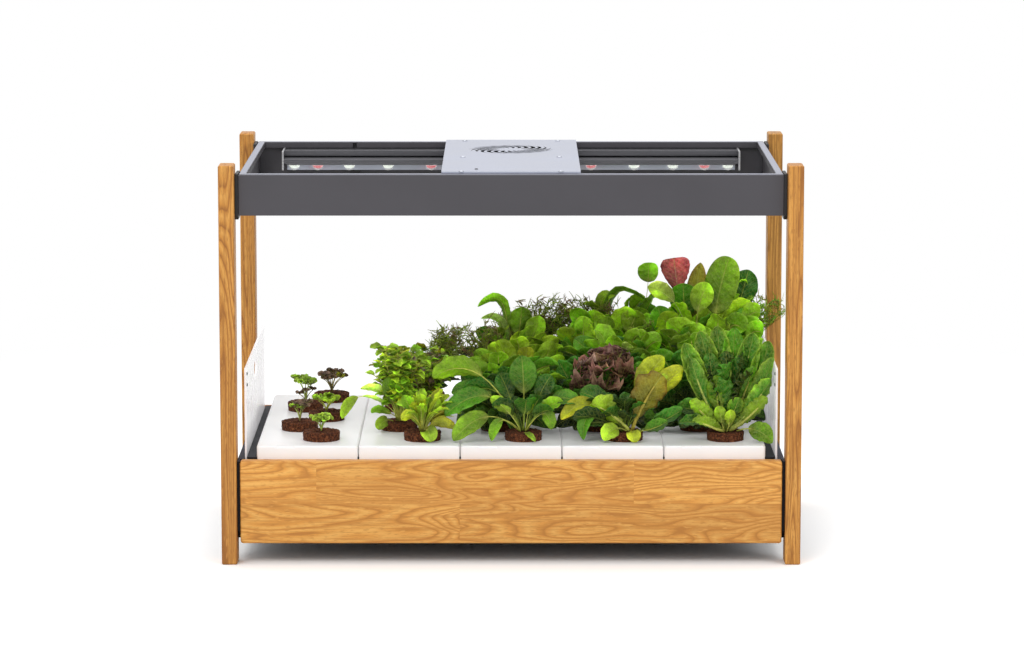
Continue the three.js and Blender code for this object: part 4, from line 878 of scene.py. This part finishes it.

# Leaves set one by one, by tray and pod: each one's form, base, bend and tip from the plug's top,
# width, colours, and how far its face is turned to the front
PLACED_LEAVES = {
    (2, 1): [
        (ROUND, (2, -8, 2), (8, -20, 8), (9, -27, -8), 19, LIME, 0.6),
        (PADDLE, (0, -4, 2), (-10, -12, 26), (-22, -15, 14), 14, YELLOW_LIME, 0.7),
        (SMALL, (3, -4, 2), (18, -10, 19), (36, -12, 4), 14, OLIVE, 0.7),
        (SMALL, (3, -2, 2), (16, -6, 26), (32, -6, 22), 14, OLIVE, 0.7),
        (PADDLE, (0, -2, 2), (2, -8, 26), (-2, -12, 42), 13, LIME, 0.9),
        (PADDLE, (0, -2, 2), (-14, -8, 28), (-20, -10, 40), 13, GREEN, 0.9),
        (PADDLE, (2, -2, 2), (14, -8, 24), (16, -12, 38), 13, LIME, 0.9),
    ],
    (2, 2): [
        (PADDLE, (0, -2, 0), (-10, -10, 30), (-12, -14, 50), 17, GREEN, 0.9),
        (PADDLE, (0, -2, 0), (4, -10, 26), (2, -14, 46), 17, GREEN, 0.9),
        (ROUND, (-6, -10, 1), (-18, -20, 8), (-22, -24, -6), 14, LIME, 0.8),
        (PADDLE, (0, 0, 2), (-10, -2, 42), (-42, -6, 36), 12, PALE, 0.6),
        (PADDLE, (0, 0, 2), (-16, -2, 26), (-40, -6, 28), 7, PALE, 0.5),
        (PADDLE, (-30, -4, 26), (-54, -8, 34), (-62, -10, 4), 12, LIME, 0.8),
        (SMALL, (0, 0, 2), (-24, -6, 20), (-30, -10, 10), 10, GREEN, 0.7),
    ],
    (3, 1): [
        (LONG, (0, 2, 0), (2, 9, 44), (-2, 10, 80), 30, DEEP, 0.9),
        (LONG, (-3, 0, 0), (-46, -8, 96), (-97, -16, 60), 27, GREEN, 0.7),
        (LONG, (-3, 0, 2), (-35, -4, 66), (-84, -8, 18), 24, DEEP, 0.6),
        (LONG, (-3, 0, 2), (-26, 4, 66), (-66, 6, 36), 24, DARK, 0.6),
        (LONG, (-3, 2, 2), (-34, 6, 56), (-77, 4, 40), 22, DEEP, 0.6),
        (LONG, (-4, -4, 0), (-40, -12, 38), (-75, -24, -7), 23, GREEN, 0.7),
        (LONG, (-3, -3, 0), (-12, -8, 22), (-35, -10, 38), 16, LIME, 0.8),
        (LONG, (-3, -5, 0), (-28, -12, 30), (-34, -18, -8), 12, GREEN, 0.7),
        (LONG, (3, -3, 0), (14, -6, 26), (42, -8, 34), 17, GREEN, 0.7),
        (LONG, (4, 0, 0), (30, 0, 50), (60, -4, 30), 20, DEEP, 0.5),
        (LONG, (2, -4, 0), (26, -10, 38), (30, -16, 4), 15, GREEN, 0.7),
        (STRAP, (1, -12, 0), (5, -22, 2), (13, -27, -8), 7, LIME, 0.3),
        (LONG, (4, 4, 0), (16, 10, 40), (30, 14, 58), 22, DARK, 0.8),
        (LONG, (-4, 4, 0), (-14, 10, 40), (-26, 16, 60), 22, DARK, 0.8),
        (LONG, (2, -3, 0), (5, -8, 22), (7, -10, 36), 11, LIME, 0.8),
    ],
    (3, 3): [
        (CUPPED, (4, 0, 0), (-16, -10, 56), (-26, -18, 82), 26, LIME, 0.8),
        (CUPPED, (4, 0, 0), (2, -12, 56), (4, -18, 74), 24, YELLOW_LIME, 0.8),
        (CUPPED, (4, 0, 0), (24, -10, 56), (32, -14, 80), 24, LIME, 0.8),
    ],
    (3, 4): [
        (PADDLE, (0, 0, 0), (26, -2, 150), (-24, -6, 108), 14, GREEN, 0.6),
        (PADDLE, (0, 0, 0), (24, -4, 110), (-20, -8, 95), 11, PALE, 0.6),
        (RAISED, (0, 0, 0), (24, -4, 70), (25, -8, 108), 25, GREEN, 0.8),
        (RAISED, (0, 0, 0), (36, -4, 60), (44, -8, 98), 23, LIME, 0.8),
    ],
    (4, 1): [
        (OAKEN, (8, -6, 1), (20, -14, 38), (40, -12, 62), 44, BRONZE, 0.75),
        (OAKEN, (5, -6, 1), (-14, -12, 24), (-36, -16, 32), 36, LIME, 0.75),
        (PADDLE, (2, -8, 1), (-12, -16, 12), (-22, -26, -7), 20, LIME, 0.6),
        (PADDLE, (6, -10, 1), (8, -22, 6), (11, -27, -9), 16, YELLOW_LIME, 0.5),
        (PADDLE, (0, -2, 3), (-48, -8, 40), (-44, -18, -7), 16, DEEP, 0.6),
        (PADDLE, (0, 0, 3), (-40, -6, 50), (-68, -12, 14), 19, OLIVE, 0.6),
        (PADDLE, (10, 4, 4), (14, 0, 54), (42, 2, 80), 28, YELLOW_LIME, 0.85),
        (PADDLE, (10, 4, 4), (34, -2, 52), (66, 0, 68), 24, YELLOW_LIME, 0.85),
        (PADDLE, (8, 4, 4), (24, -2, 48), (50, 0, 58), 20, LIME, 0.8),
        (PADDLE, (10, -8, 0), (34, -16, 8), (64, -12, 26), 22, DARK, 0.6),
        (PADDLE, (6, -8, 0), (28, -20, 2), (46, -20, 14), 19, DEEP, 0.6),
        (PADDLE, (-2, 4, 0), (-22, 8, 36), (-48, 10, 40), 26, DARK, 0.6),
        (PADDLE, (-2, -6, 0), (-24, -10, 16), (-44, -14, 8), 18, SHADE, 0.4),
    ],
    (4, 2): [
        (PADDLE, (-4, 4, 0), (-26, 6, 30), (-44, 6, 66), 28, DARK, 0.9),
        (PADDLE, (-4, 2, 0), (-30, 2, 24), (-50, 0, 42), 24, SHADE, 0.8),
    ],
    (4, 3): [
        (PADDLE, (0, 0, 0), (40, 4, 90), (-38, 8, 66), 24, DARK, 0.6),
        (CUPPED, (0, 0, 0), (10, 0, 70), (28, -2, 88), 34, GREEN, 0.8),
        (SPOON, (0, -4, 0), (-4, -8, 60), (8, -20, 78), 13, PALE, 0.9),
    ],
    (4, 4): [
        (CUPPED, (0, 0, 0), (-18, -8, 60), (-14, -12, 98), 32, LIME, 0.9),
        (CUPPED, (0, 0, 0), (10, -8, 60), (12, -12, 98), 28, GREEN, 0.9),
        (RAISED, (0, 0, 0), (36, -6, 80), (46, -10, 104), 28, LIME, 0.8),
    ],
    (4, 5): [
        (STRAP, (0, 0, 0), (-36, -4, 158), (34, -10, 104), 15, GREEN, 0.4),
        (PADDLE, (0, 0, 0), (-40, -4, 124), (-4, -8, 112), 16, LIME, 0.5),
        (PADDLE, (0, 0, 0), (4, -4, 90), (34, -8, 92), 24, GREEN, 0.7),
        (SPOON, (10, 0, 0), (34, 0, 90), (34, -4, 149), 24, GREEN, 0.9),
    ],
    (5, 1): [
        (ROMAINE, (-2, 6, 0), (-14, 12, 60), (-28, 12, 106), 27, ROMAINE_GREEN, 0.9),
        (ROMAINE, (0, 6, 0), (-4, 14, 60), (-9, 16, 111), 27, ROMAINE_GREEN, 0.9),
        (ROMAINE, (2, 6, 0), (8, 14, 60), (10, 16, 109), 27, DEEP, 0.9),
        (ROMAINE, (2, 6, 0), (22, 10, 60), (30, 12, 104), 27, ROMAINE_GREEN, 0.9),
        (ROMAINE, (4, 4, 0), (38, 6, 48), (46, 8, 96), 26, ROMAINE_GREEN, 0.85),
        (ROMAINE, (-3, 4, 0), (-30, 4, 50), (-44, 6, 94), 25, ROMAINE_GREEN, 0.85),
        (ROMAINE, (-1, 2, 0), (-14, 2, 46), (-18, 0, 84), 24, ROMAINE_HEART, 0.9),
        (ROMAINE, (1, 2, 0), (2, 4, 46), (0, 2, 86), 26, ROMAINE_HEART, 0.9),
        (ROMAINE, (2, 2, 0), (14, 2, 46), (16, 0, 82), 24, ROMAINE_HEART, 0.9),
        (ROMAINE, (-4, 0, 0), (-26, -6, 36), (-38, -8, 80), 21, ROMAINE_GREEN, 0.8),
        (ROMAINE, (4, 0, 0), (36, -4, 34), (50, -6, 80), 23, ROMAINE_GREEN, 0.8),
        (ROMAINE, (4, -3, 0), (30, -8, 26), (48, -10, 58), 22, ROMAINE_GREEN, 0.75),
        (ROMAINE, (4, 0, 0), (20, -2, 40), (30, -4, 70), 21, DEEP, 0.8),
        (ROMAINE, (4, -3, 0), (26, -10, 16), (44, -12, 38), 19, LIME, 0.7),
        (PADDLE, (-2, -4, 0), (-12, -8, 34), (-10, -12, 62), 22, GREEN, 0.95),
        (PADDLE, (2, -4, 0), (8, -10, 22), (14, -14, 38), 18, ROMAINE_GREEN, 0.9),
        (ROMAINE, (-2, -4, 0), (-20, -12, 14), (-38, -16, 36), 19, LIME, 0.7),
        (ROMAINE, (-2, -6, 0), (-14, -18, 8), (-36, -24, 16), 17, LIME, 0.5),
        (PADDLE, (-1, -8, 0), (-6, -16, 14), (-8, -18, 30), 14, LIME, 0.8),
        (PADDLE, (1, -8, 0), (4, -16, 12), (5, -20, 26), 12, LIME, 0.8),
        (PADDLE, (-2, 4, 0), (-26, 6, 26), (-52, 4, 24), 26, DARK, 0.6),
        (PADDLE, (-2, -2, 0), (-24, -6, 14), (-50, -10, 10), 22, DARK, 0.5),
        (replace(LONG, bare=0.3), (12, -8, 1), (32, -20, 12), (50, -31, -9), 22, GREEN, 0.7),
    ],
    (5, 3): [
        (replace(RAISED, blunt=0.4), (0, 0, 0), (-18, 0, 90), (10, 4, 171), 36, GREEN, 0.9),
        (replace(RAISED, bare=0.72), (0, -4, 0), (-44, -8, 92), (-14, -10, 144), 25, LIME, 0.9),
        (RAISED, (2, -4, 0), (-2, -12, 124), (26, -20, 92), 28, GREEN, 0.8),
        (RAISED, (4, -2, 0), (20, -6, 106), (50, -12, 88), 24, GREEN, 0.8),
    ],
    (5, 4): [
        (replace(PADDLE, bare=0.68), (0, 0, 0), (4, -10, 122), (-52, -12, 131), 21, PALE, 0.8),
        (FAN, (-6, 4, 0), (-14, 4, 100), (-22, 8, 161), 34, ROSE, 0.9),
        (PADDLE, (0, 4, 40), (-2, 4, 100), (8, 6, 156), 24, BRONZE, 0.9),
        (RAISED, (-2, 0, 0), (-30, 0, 70), (-40, 0, 108), 26, DEEP, 0.8),
        (RAISED, (0, 0, 0), (-10, 0, 90), (-12, -4, 134), 32, DEEP, 0.9),
    ],
    (5, 5): [
        (RAISED, (0, 0, 0), (24, -2, 84), (38, -6, 141), 32, DARK, 0.9),
        (RAISED, (0, 0, 0), (24, -2, 84), (24, -4, 132), 28, BRONZE, 0.9),
        (RAISED, (0, 0, 0), (4, -2, 84), (4, -6, 146), 30, OLIVE, 0.9),
    ],
}

SMOOTH = (PADDLE, PADDLE, CUPPED)
MIXED = (CRINKLED, PADDLE, CUPPED, CRINKLED)
DIM = (SHADE, DARK, DEEP)
RISING = (*DIM, GREEN)
BRIGHT = (*RISING, LIME)
FEATHERY = (FEATHER_OLIVE, FEATHER_GREEN)
ODD_SPREAD = (-76, 50)
EVEN_SPREAD = (-50, 76)
# The skirt's dark greens are painted shade in front of the plants' feet.
FRONT_SKIRT = skirt(DIM, 14, 62, 22, 13)


def low_leaves(lean, height):
    """Leaves near the tray, in the darkest greens as painted shade, that close the view under the plants."""
    return rosette(PADDLE, DIM[:2], 14, height, 62, 26, lean=(lean, 0, 4), depth=0.5)


# What grows in each tray and pod
PLANTS = {
    (1, 1): [seedling(SEEDLING, 17, 9, 6, 8)],
    (1, 2): [seedling(PLUM, 23, 12, 6, 7), seedling(SEEDLING, 20, 7, 3, 7)],
    (1, 3): [seedling(LIME, 17, 13, 6, 9)],
    (1, 4): [seedling(SEEDLING, 28, 11, 6, 9), seedling(PLUM, 14, 12, 3, 6)],
    (1, 5): [seedling(PLUM, 26, 16, 8, 8), seedling(OLIVE, 24, 12, 3, 6)],
    (2, 1): [rosette(OAKEN, [LIME, GREEN, YELLOW_LIME], 22, 44, 36, 10, lean=(7, 0, 0)),
             rosette(STRAP, [YELLOW_LIME, LIME], 14, 34, 30, 7, lean=(4, 0, 0))],
    (2, 2): [herb([LIME, YELLOW_LIME, LIME, GREEN], 20, 78, 28, 10, pairs=7, lean=-3),
             rosette(OAKEN, [LIME, LIME, GREEN], 16, 58, 24, 12, lean=(-3, 0, 0))],
    (2, 3): [herb([PLUM, OLIVE, GREEN, FEATHER_GREEN, LIME], 22, 62, 34, 8, pairs=6, lean=-2)],
    (2, 4): [herb([LIME, GREEN, OLIVE], 18, 58, 40, 11, pairs=6, lean=8),
             canopy(SMOOTH, DIM, 16, (6, 78), [46, 52, 56], 18),
             threads(FEATHERY, 14, (10, 66), [56, 60, 64], length=11)],
    (2, 5): [threads(FEATHERY, 30, (8, 44), [72, 80, 82, 80]),
             threads(FEATHERY, 12, (-10, 44), [40, 50, 60, 60])],
    (3, 1): [rosette(PADDLE, [DARK, SHADE], 7, 40, 44, 22)],
    (3, 2): [low_leaves(8, 54), FRONT_SKIRT,
             canopy(SMOOTH, RISING, 34, EVEN_SPREAD, [54, 62, 78, 78, 72, 62], 24, blade=54)],
    (3, 3): [low_leaves(-8, 52),
             canopy(MIXED, BRIGHT, 32, ODD_SPREAD, [56, 68, 82, 84, 84, 80, 76], 27, blade=58)],
    (3, 4): [low_leaves(8, 58), canopy(MIXED, BRIGHT, 24, (-10, 76), [80, 88, 90, 92], 25, blade=56),
             threads(FEATHERY, 24, (-44, 0), [80, 96, 92], length=13)],
    (3, 5): [threads(FEATHERY, 46, (-30, 52), [92, 108, 112, 114], length=15, low=0.55),
             canopy(SMOOTH, DIM, 24, ODD_SPREAD, [60, 74, 80, 84, 90, 94], 20)],
    (4, 1): [rosette(PADDLE, [DARK, SHADE], 13, 36, 52, 24, lean=(-8, 0, 0))],
    (4, 2): [low_leaves(8, 54), FRONT_SKIRT,
             rosette(FRILLED, [BURGUNDY, MAUVE, BURGUNDY], 26, 74, 40, 36, lean=(8, 0, 0)),
             canopy(SMOOTH, DIM, 26, EVEN_SPREAD, [50, 60, 56, 56, 66, 70], 22, depth=18)],
    (4, 3): [low_leaves(-8, 56),
             canopy(MIXED, RISING, 34, ODD_SPREAD, [78, 84, 92, 90, 86, 84], 27, blade=58)],
    (4, 4): [low_leaves(8, 66),
             canopy(MIXED, BRIGHT, 34, EVEN_SPREAD, [92, 102, 106, 104, 102, 100], 28, blade=60),
             threads([GREEN, FEATHER_GREEN], 14, (34, 66), [96, 102, 104])],
    (4, 5): [canopy(SMOOTH, BRIGHT, 30, ODD_SPREAD, [98, 102, 106, 112, 116, 116], 20),
             threads(FEATHERY, 40, (-78, -6), [108, 112, 110, 106], length=15, low=0.62)],
    (5, 1): [rosette(ROMAINE, [SHADE, DARK], 8, 82, 30, 34, lean=(4, 8, 0))],
    (5, 2): [low_leaves(8, 54), FRONT_SKIRT,
             canopy(MIXED, RISING, 30, EVEN_SPREAD, [82, 90, 98, 98, 94, 90], 28, blade=60)],
    (5, 3): [low_leaves(-8, 60),
             canopy(MIXED, BRIGHT, 32, ODD_SPREAD, [100, 102, 106, 112, 118, 114], 29, blade=64)],
    (5, 4): [low_leaves(8, 70),
             canopy(MIXED, BRIGHT, 32, EVEN_SPREAD, [108, 108, 112, 120, 122, 118], 29, blade=64)],
    (5, 5): [canopy(MIXED, RISING, 30, ODD_SPREAD, [100, 104, 112, 122, 128, 120], 29, blade=64),
             threads([GREEN, OLIVE], 22, (30, 88), [116, 116, 104], length=16, low=0.72)],
}
SAVOYED = (5, 1)


def seat(made, material, body, node=None):
    """Gives a piece its material and body, and hides the CAD solid that it stands for."""
    made.data.materials.append(material)
    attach(made, body)
    if node:
        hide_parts(node)


def plug_centre(tray, pod):
    """The middle of a tray's lane, and the centre of a plug's top in it."""
    low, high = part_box(f"tray_{tray}")
    lane = (low.x + high.x) / 2
    stagger = POD_STAGGER if pod % 2 else -POD_STAGGER
    return lane, np.array([lane + stagger, (pod - 3) * POD_PITCH, PLUG_TOP])


def held(values, centre, reach):
    """Draws in softly what lies past a reach on either side of a centre."""
    offset = values - centre
    past = np.abs(offset) - (reach - LANE_SOFT)
    drawn = reach - LANE_SOFT * np.exp(-np.maximum(past, 0) / LANE_SOFT)
    return centre + np.where(past > 0, np.sign(offset) * drawn, offset)


def make_plant(tray, pod, skin):
    """The plant of one pod, kept to its lane, off the tray and clear of the side panels."""
    lane, centre = plug_centre(tray, pod)
    reach = LONG_REACH.get((tray, pod), LANE_REACH) * MM
    over = OVER_PANEL.get((tray, pod), reach / MM) * MM
    panel_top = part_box("right_side_panel")[1].z
    outer_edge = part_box(f"tray_{TRAYS}")[1].x
    rng = np.random.default_rng(100 * tray + pod)
    build = Build()
    for make in PLANTS[(tray, pod)]:
        make(build, rng)
    for leaf in PLACED_LEAVES.get((tray, pod), []):
        add_leaf(build, rng, *leaf)

    def hold(points):
        x, y, z = (points + centre).T
        above = np.clip((z - panel_top) / PANEL_FADE, 0, 1)
        x = held(x, lane, reach + (over - reach) * above)
        y = held(y, 0.0, DEPTH_REACH)
        on_plug = np.hypot(x - centre[0], y - centre[1]) < PLUG_TOP_RADIUS
        floor = np.where(on_plug, PLUG_TOP - PLUG_SINK, LEAF_FLOOR)
        floor = np.where(np.abs(x) > outer_edge, LEAF_FLOOR - GAP_HANG, floor)
        return np.stack([x, y, np.maximum(z, floor)], axis=1)

    if pod > 1 and tray > 2:
        build.shade(SHADE_HEIGHT)
    seat(build.object(f"plant_{tray}_{pod}", hold), skin, f"tray_{tray}", f"pod_{tray}_{pod}")


def loose_fibre(rng):
    """The path of one coir fibre on the plug's top or side."""
    angle = rng.uniform(0, 2 * math.pi)
    on_side = rng.uniform() < FIBRES_ON_SIDE
    radius = PLUG_TOP_RADIUS - 0.5 * MM if on_side else PLUG_TOP_RADIUS * math.sqrt(rng.uniform(0, 0.9))
    height = PLUG_TOP - (rng.uniform(0.5, 6.5) * MM if on_side else 0.3 * MM)
    here = circle(angle) * radius + (0, 0, height)
    run = circle(rng.uniform(0, 2 * math.pi)) * rng.uniform(2.5, 6) * MM
    arch = np.array([0, 0, 0.7 * MM])
    if on_side:
        tangent = circle(angle + math.pi / 2) * rng.uniform(-5, 5) * MM
        run = tangent + (0, 0, rng.uniform(-1.5, 0.8) * MM)
        arch = circle(angle) * 0.35 * MM
    far = here + run
    far[:2] *= min(1.0, (PLUG_TOP_RADIUS - 0.2 * MM) / np.linalg.norm(far[:2]))
    return [here, (here + far) / 2 + arch, far]


def make_plug(tray, pod, material):
    """A tapered coir plug with a crumbly top, sides and loose fibres."""
    rng = np.random.default_rng(1000 + 10 * tray + pod)
    rim = PLUG_TOP_RADIUS
    rings = [(PLUG_BOTTOM_RADIUS * 0.9, PLUG_BOTTOM), (PLUG_BOTTOM_RADIUS, PLUG_BOTTOM + 1 * MM)]
    for share in (0.0, 0.25, 0.5, 0.75, 0.92):
        rings.append((rim - PLUG_BULGE * (1 - share), PLUG_TOP - PLUG_SHOWN * (1 - share)))
    rings.append((rim - PLUG_ROUNDING, PLUG_TOP))
    for share in (0.8, 0.62, 0.44, 0.28, 0.14, 0.05):
        rings.append((rim * share, PLUG_TOP - PLUG_CROWN * (1 - share)))
    build = Build()
    build.turned(rings, steps=PLUG_SIDES)
    points = build.points[0]
    shown = points[:, 2] > PLUG_TOP - PLUG_SHOWN + 0.5 * MM
    rough = rng.normal(0, CRUMBS, points.shape)
    inward = -np.abs(rng.normal(0, 0.35 * MM, len(points)))
    flat = points[:, :2] / (np.linalg.norm(points[:, :2], axis=1, keepdims=True) + 1e-9)
    points[:, :2] += np.where(shown, inward, 0.0)[:, None] * flat
    points[:, 2] += np.where(shown, rough[:, 2] - 0.1 * MM, 0.0)
    for _ in range(FIBRES):
        build.tube(loose_fibre(rng), FIBRE_RADII, 4)
    centre = plug_centre(tray, pod)[1] * (1, 1, 0)
    made = build.object(f"plug_{tray}_{pod}", lambda points: points + centre)
    seat(made, material, f"tray_{tray}", f"pod_{tray}_{pod}")


# Lamp and small hardware

def make_led_strip(end, laminate, dome, dies, sheet):
    """A strip board with a pale strip below it that paints the lit band under the bar, and an LED chip under
    a clear dome at each place.
    """
    node = f"{end}_led_strip"
    low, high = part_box(node)
    side, front = (1, low.y) if end == "rear" else (-1, high.y)
    row_y = front + side * LED_ROW
    board_low = high.z - STRIP_THICK
    near, far = sorted(row_y + side * behind for behind in PAINTED_LIGHT_BEHIND)
    painted_light_low = (low.x, near, board_low - PAINTED_LIGHT_DROP)
    blocks = {
        "board": ((low.x, low.y, board_low), high, laminate),
        "painted_light_strip": (painted_light_low, (high.x, far, board_low - 2 * LED_GAP), sheet),
    }
    for name, (bottom, top, material) in blocks.items():
        build = Build()
        build.block(bottom, top)
        made = build.object(f"{end}_led_{name}")
        bevel(made, LED_EDGE)
        seat(made, material, "root", node)
    lenses = Build()
    chips = {"white": Build(), "red": Build()}
    glass = []
    for angle in np.linspace(0, math.pi / 2, DOME_RINGS):
        radius = max(DOME_RADIUS * math.sin(angle), LED_GAP)
        glass.append((radius, board_low - DOME_HEIGHT * math.cos(angle)))
    glass.append((DOME_RADIUS, board_low - LED_GAP))
    chip = [(radius, board_low - drop) for radius, drop in CHIP_RINGS]
    for place, colour in DOMES:
        for x in (-place * MM, place * MM):
            lenses.turned(glass, (x, row_y, 0), steps=36)
            chips[colour].turned(chip, (x, row_y, 0), steps=24)
    seat(lenses.object(f"{end}_led_domes"), dome, "root")
    for colour, build in chips.items():
        seat(build.object(f"{end}_{colour}_leds"), dies[colour], "root")


def make_cover_screws(material, socket_shade):
    """Pan-head screws with a six-sided socket, in the cover's corners and middle; each socket's black floor
    is painted shade.
    """
    forms = {"cover_screws": (SCREW_HEAD, 24, material), "cover_screw_sockets": (SCREW_SOCKET, 6, socket_shade)}
    for name, (form, steps, skin) in forms.items():
        build = Build()
        rings = [(SCREW_RADIUS * share, height * MM) for share, height in form]
        for x, y in SCREW_PLACES:
            build.turned(rings, (x, y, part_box("fan_cover")[1].z), steps)
        seat(build.object(name), skin, "root")


def make_bumpers(side, material):
    """Two small rubber bumpers near the front edge of a side panel's inner face."""
    low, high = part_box(f"{side}_side_panel")
    inner, sign = (high.x, 1) if side == "left" else (low.x, -1)
    build = Build()
    for drop in BUMPER_DROPS:
        path = [(inner + sign * out * MM, BUMPER_Y, high.z - drop) for _, out in BUMPER_RINGS]
        build.tube(path, [radius * MM for radius, _ in BUMPER_RINGS], 16)
    seat(build.object(f"{side}_bumpers"), material, f"{side}_side_panel")


# Scene

def dress(names, material, edge):
    """Gives CAD solids their material and broken edges."""
    for name in names:
        node = nodes[name]
        node.data.materials.clear()
        node.data.materials.append(material)
        bevel(node, edge)


def ending(suffix):
    return [name for name in nodes if name.endswith(suffix)]


def make_camera():
    data = bpy.data.cameras.new("camera")
    data.lens = CAMERA_LENS
    data.sensor_width = SENSOR_WIDTH
    data.clip_end = CLIP_END
    turn = (math.pi / 2 - CAMERA_PITCH, 0.0, 0.0)
    bpy.context.scene.camera = put("camera", data, CAMERA_PLACE, turn)


def make_world():
    """A soft white sky, at full white where the camera, metal or glass sees it."""
    bpy.context.scene.world = bpy.data.worlds.new("studio")
    s = Shader(bpy.context.scene.world)
    path = s.node("LightPath").outputs
    shown = s.math("MAXIMUM", path["Is Camera Ray"], path["Is Transmission Ray"])
    shown = s.math("MAXIMUM", shown, path["Is Glossy Ray"])
    strength = s.node("MapRange", {"Value": shown, "To Min": WORLD_LIGHT, "To Max": WORLD_SHOWN})
    background = s.tree.nodes["Background"]
    s.feed(background.inputs["Strength"], strength.outputs[0])
    s.feed(background.inputs["Color"], (1.0, 1.0, 1.0, 1.0))


def make_light(name, place, target, size, power):
    data = bpy.data.lights.new(name, "AREA")
    data.shape = "RECTANGLE"
    data.size, data.size_y = size
    data.energy = power
    way = Vector(target) - Vector(place)
    put(name, data, place, way.to_track_quat("-Z", "Y").to_euler())


def make_floor():
    """A white floor that keeps the shadow near the garden and fades into the white beyond."""
    half = FLOOR_SIZE / 2
    corners = [(-half, -half, 0), (half, -half, 0), (half, half, 0), (-half, half, 0)]
    floor = mesh_object("floor", corners, [(0, 1, 2, 3)], smooth=False)
    s = Shader.material("floor_white")
    seen = s.node("LightPath").outputs["Is Camera Ray"]
    tone = s.spread(seen, 0.0, 1.0, FLOOR_COLOUR, FLOOR_SHOWN)
    diffuse = s.node("BsdfDiffuse", {"Color": s.vector(tone, tone, tone)})
    white = s.node("Emission", {"Strength": 1.0})
    far = s.node("VectorMath", [s.places()], operation="LENGTH")
    s.blend(s.spread(far.outputs["Value"], *FLOOR_FADE), diffuse.outputs[0], white.outputs[0])
    s.tree.nodes.remove(s.surface)
    floor.data.materials.append(s.owner)


def dress_base():
    """The oak, the side frames, the tank, the trays and the side panels."""
    amber = (0xdea250, 0xca8a3a, 0x9a6228)
    dress(["front_left_post", "front_right_post"], oak("oak_post", "z", amber), OAK_EDGE)
    dress(["rear_left_post"], oak("oak_post_rear", "z", amber), OAK_EDGE)
    shaded = oak("oak_post_shaded", "z", (0xd09848, 0xbc8236, 0x926428))
    dress(["rear_right_post"], shaded, OAK_EDGE)
    honey = oak("oak_front", "x", (0xeab25e, 0xdc9a46, 0xb87a34), FRONT_JOINTS, rings=25.0)
    dress(["front_oak_panel"], honey, OAK_EDGE)
    brown = oak("oak_rear", "x", (0xc88d4e, 0xb27640, 0x855128), REAR_JOINTS, rings=11.0)
    dress(["rear_oak_panel"], brown, OAK_EDGE)
    # The side frames' paler tops are a painted highlight.
    slate = powder_coat("slate_powder_coat", 0x18171b, 0.6, top=0x2e2f3a, sheen=0.12)
    dress(ending("_side_frame"), slate, THICK_EDGE)
    # The trays' glow is painted light.
    white = moulded_plastic("white_tray_plastic", 0xf1f0f0, 0.32, subsurface=0.02, painted_glow=0.045)
    dress([f"tray_{i}" for i in range(1, TRAYS + 1)], white, THICK_EDGE)
    # The side panels' glow is painted light.
    sheet = powder_coat("white_powder_coat", 0xefedef, 0.24, speckle=0.03, painted_glow=0.22)
    dress(ending("_side_panel"), sheet, SHEET_EDGE)
    dress(["water_tank"], moulded_plastic("tank_plastic", 0x26272c, 0.6, sheen=0.15), SHEET_EDGE)


def dress_lamp(plastic):
    """The lamp's rails, brackets, housing, cover, light bars, fan, board and inlet."""
    # The rails' paler tops are a painted highlight.
    dress(ending("_lamp_rail"), powder_coat("dark_powder_coat", 0x424045, 0.36, top=0x8e91a0), THICK_EDGE)
    black = powder_coat("black_powder_coat", 0x1b1b1d, 0.5)
    dress(ending("_bracket") + ["lamp_housing"], black, SHEET_EDGE)
    # The grille's dark slot walls are painted shade.
    silver = powder_coat("silver_powder_coat", 0xa9adbc, 0.34, metallic=0.35, speckle=0.05, grille_shade=True)
    dress(["fan_cover"], silver, SHEET_EDGE)
    dress(ending("_light_bar"), brushed_bar("anodised_bar", 0x6c6c70, 0xc8c8ca), FINE_EDGE)
    dress(["fan_frame", "fan_rotor", "light_button", "power_inlet"], plastic, MOULDED_EDGE)
    dress(["control_board"], circuit_laminate("board_laminate", 0x1f5a3a), FINE_EDGE)
    # The black socket floors are painted shade.
    make_cover_screws(powder_coat("screw_steel", 0xb9bcc4, 0.3, metallic=0.8, speckle=0.04), plastic)


def make_led_strips():
    """The LED strips under both light bars."""
    # The chips' glow is painted light.
    dies = {
        "white": led_die("white_chip", 0xdfe8dc, painted_glow=0.6),
        "red": led_die("red_chip", 0xb4102e, painted_glow=0.8),
    }
    dome = clear_plastic("clear_dome")
    laminate = circuit_laminate("white_laminate", 0x77787c)
    # The pale strip paints light under the bars.
    sheet = powder_coat("painted_light_sheet", 0xc3c8d8, 0.3, speckle=0.04)
    for end in ("front", "rear"):
        make_led_strip(end, laminate, dome, dies, sheet)


def make_plants():
    smooth = leaf_skin("leaf_skin", 0.42, veins=8.0, vein_share=0.36, blister=1.1)
    savoyed = leaf_skin("savoyed_leaf_skin", 0.34, veins=11.0, vein_share=0.5, blister=1.6, net=0.36)
    material = coir("coir")
    for tray in range(1, TRAYS + 1):
        for pod in range(1, PODS + 1):
            make_plug(tray, pod, material)
            make_plant(tray, pod, savoyed if (tray, pod) == SAVOYED else smooth)


make_camera()
make_world()
for name, lamp in LAMPS.items():
    make_light(name, *lamp)
make_floor()
dress_base()
plastic = moulded_plastic("black_plastic", 0x151517, 0.38)
dress_lamp(plastic)
for side in ("left", "right"):
    make_bumpers(side, plastic)
make_led_strips()
make_plants()

bpy.context.scene.view_settings.view_transform = "Standard"
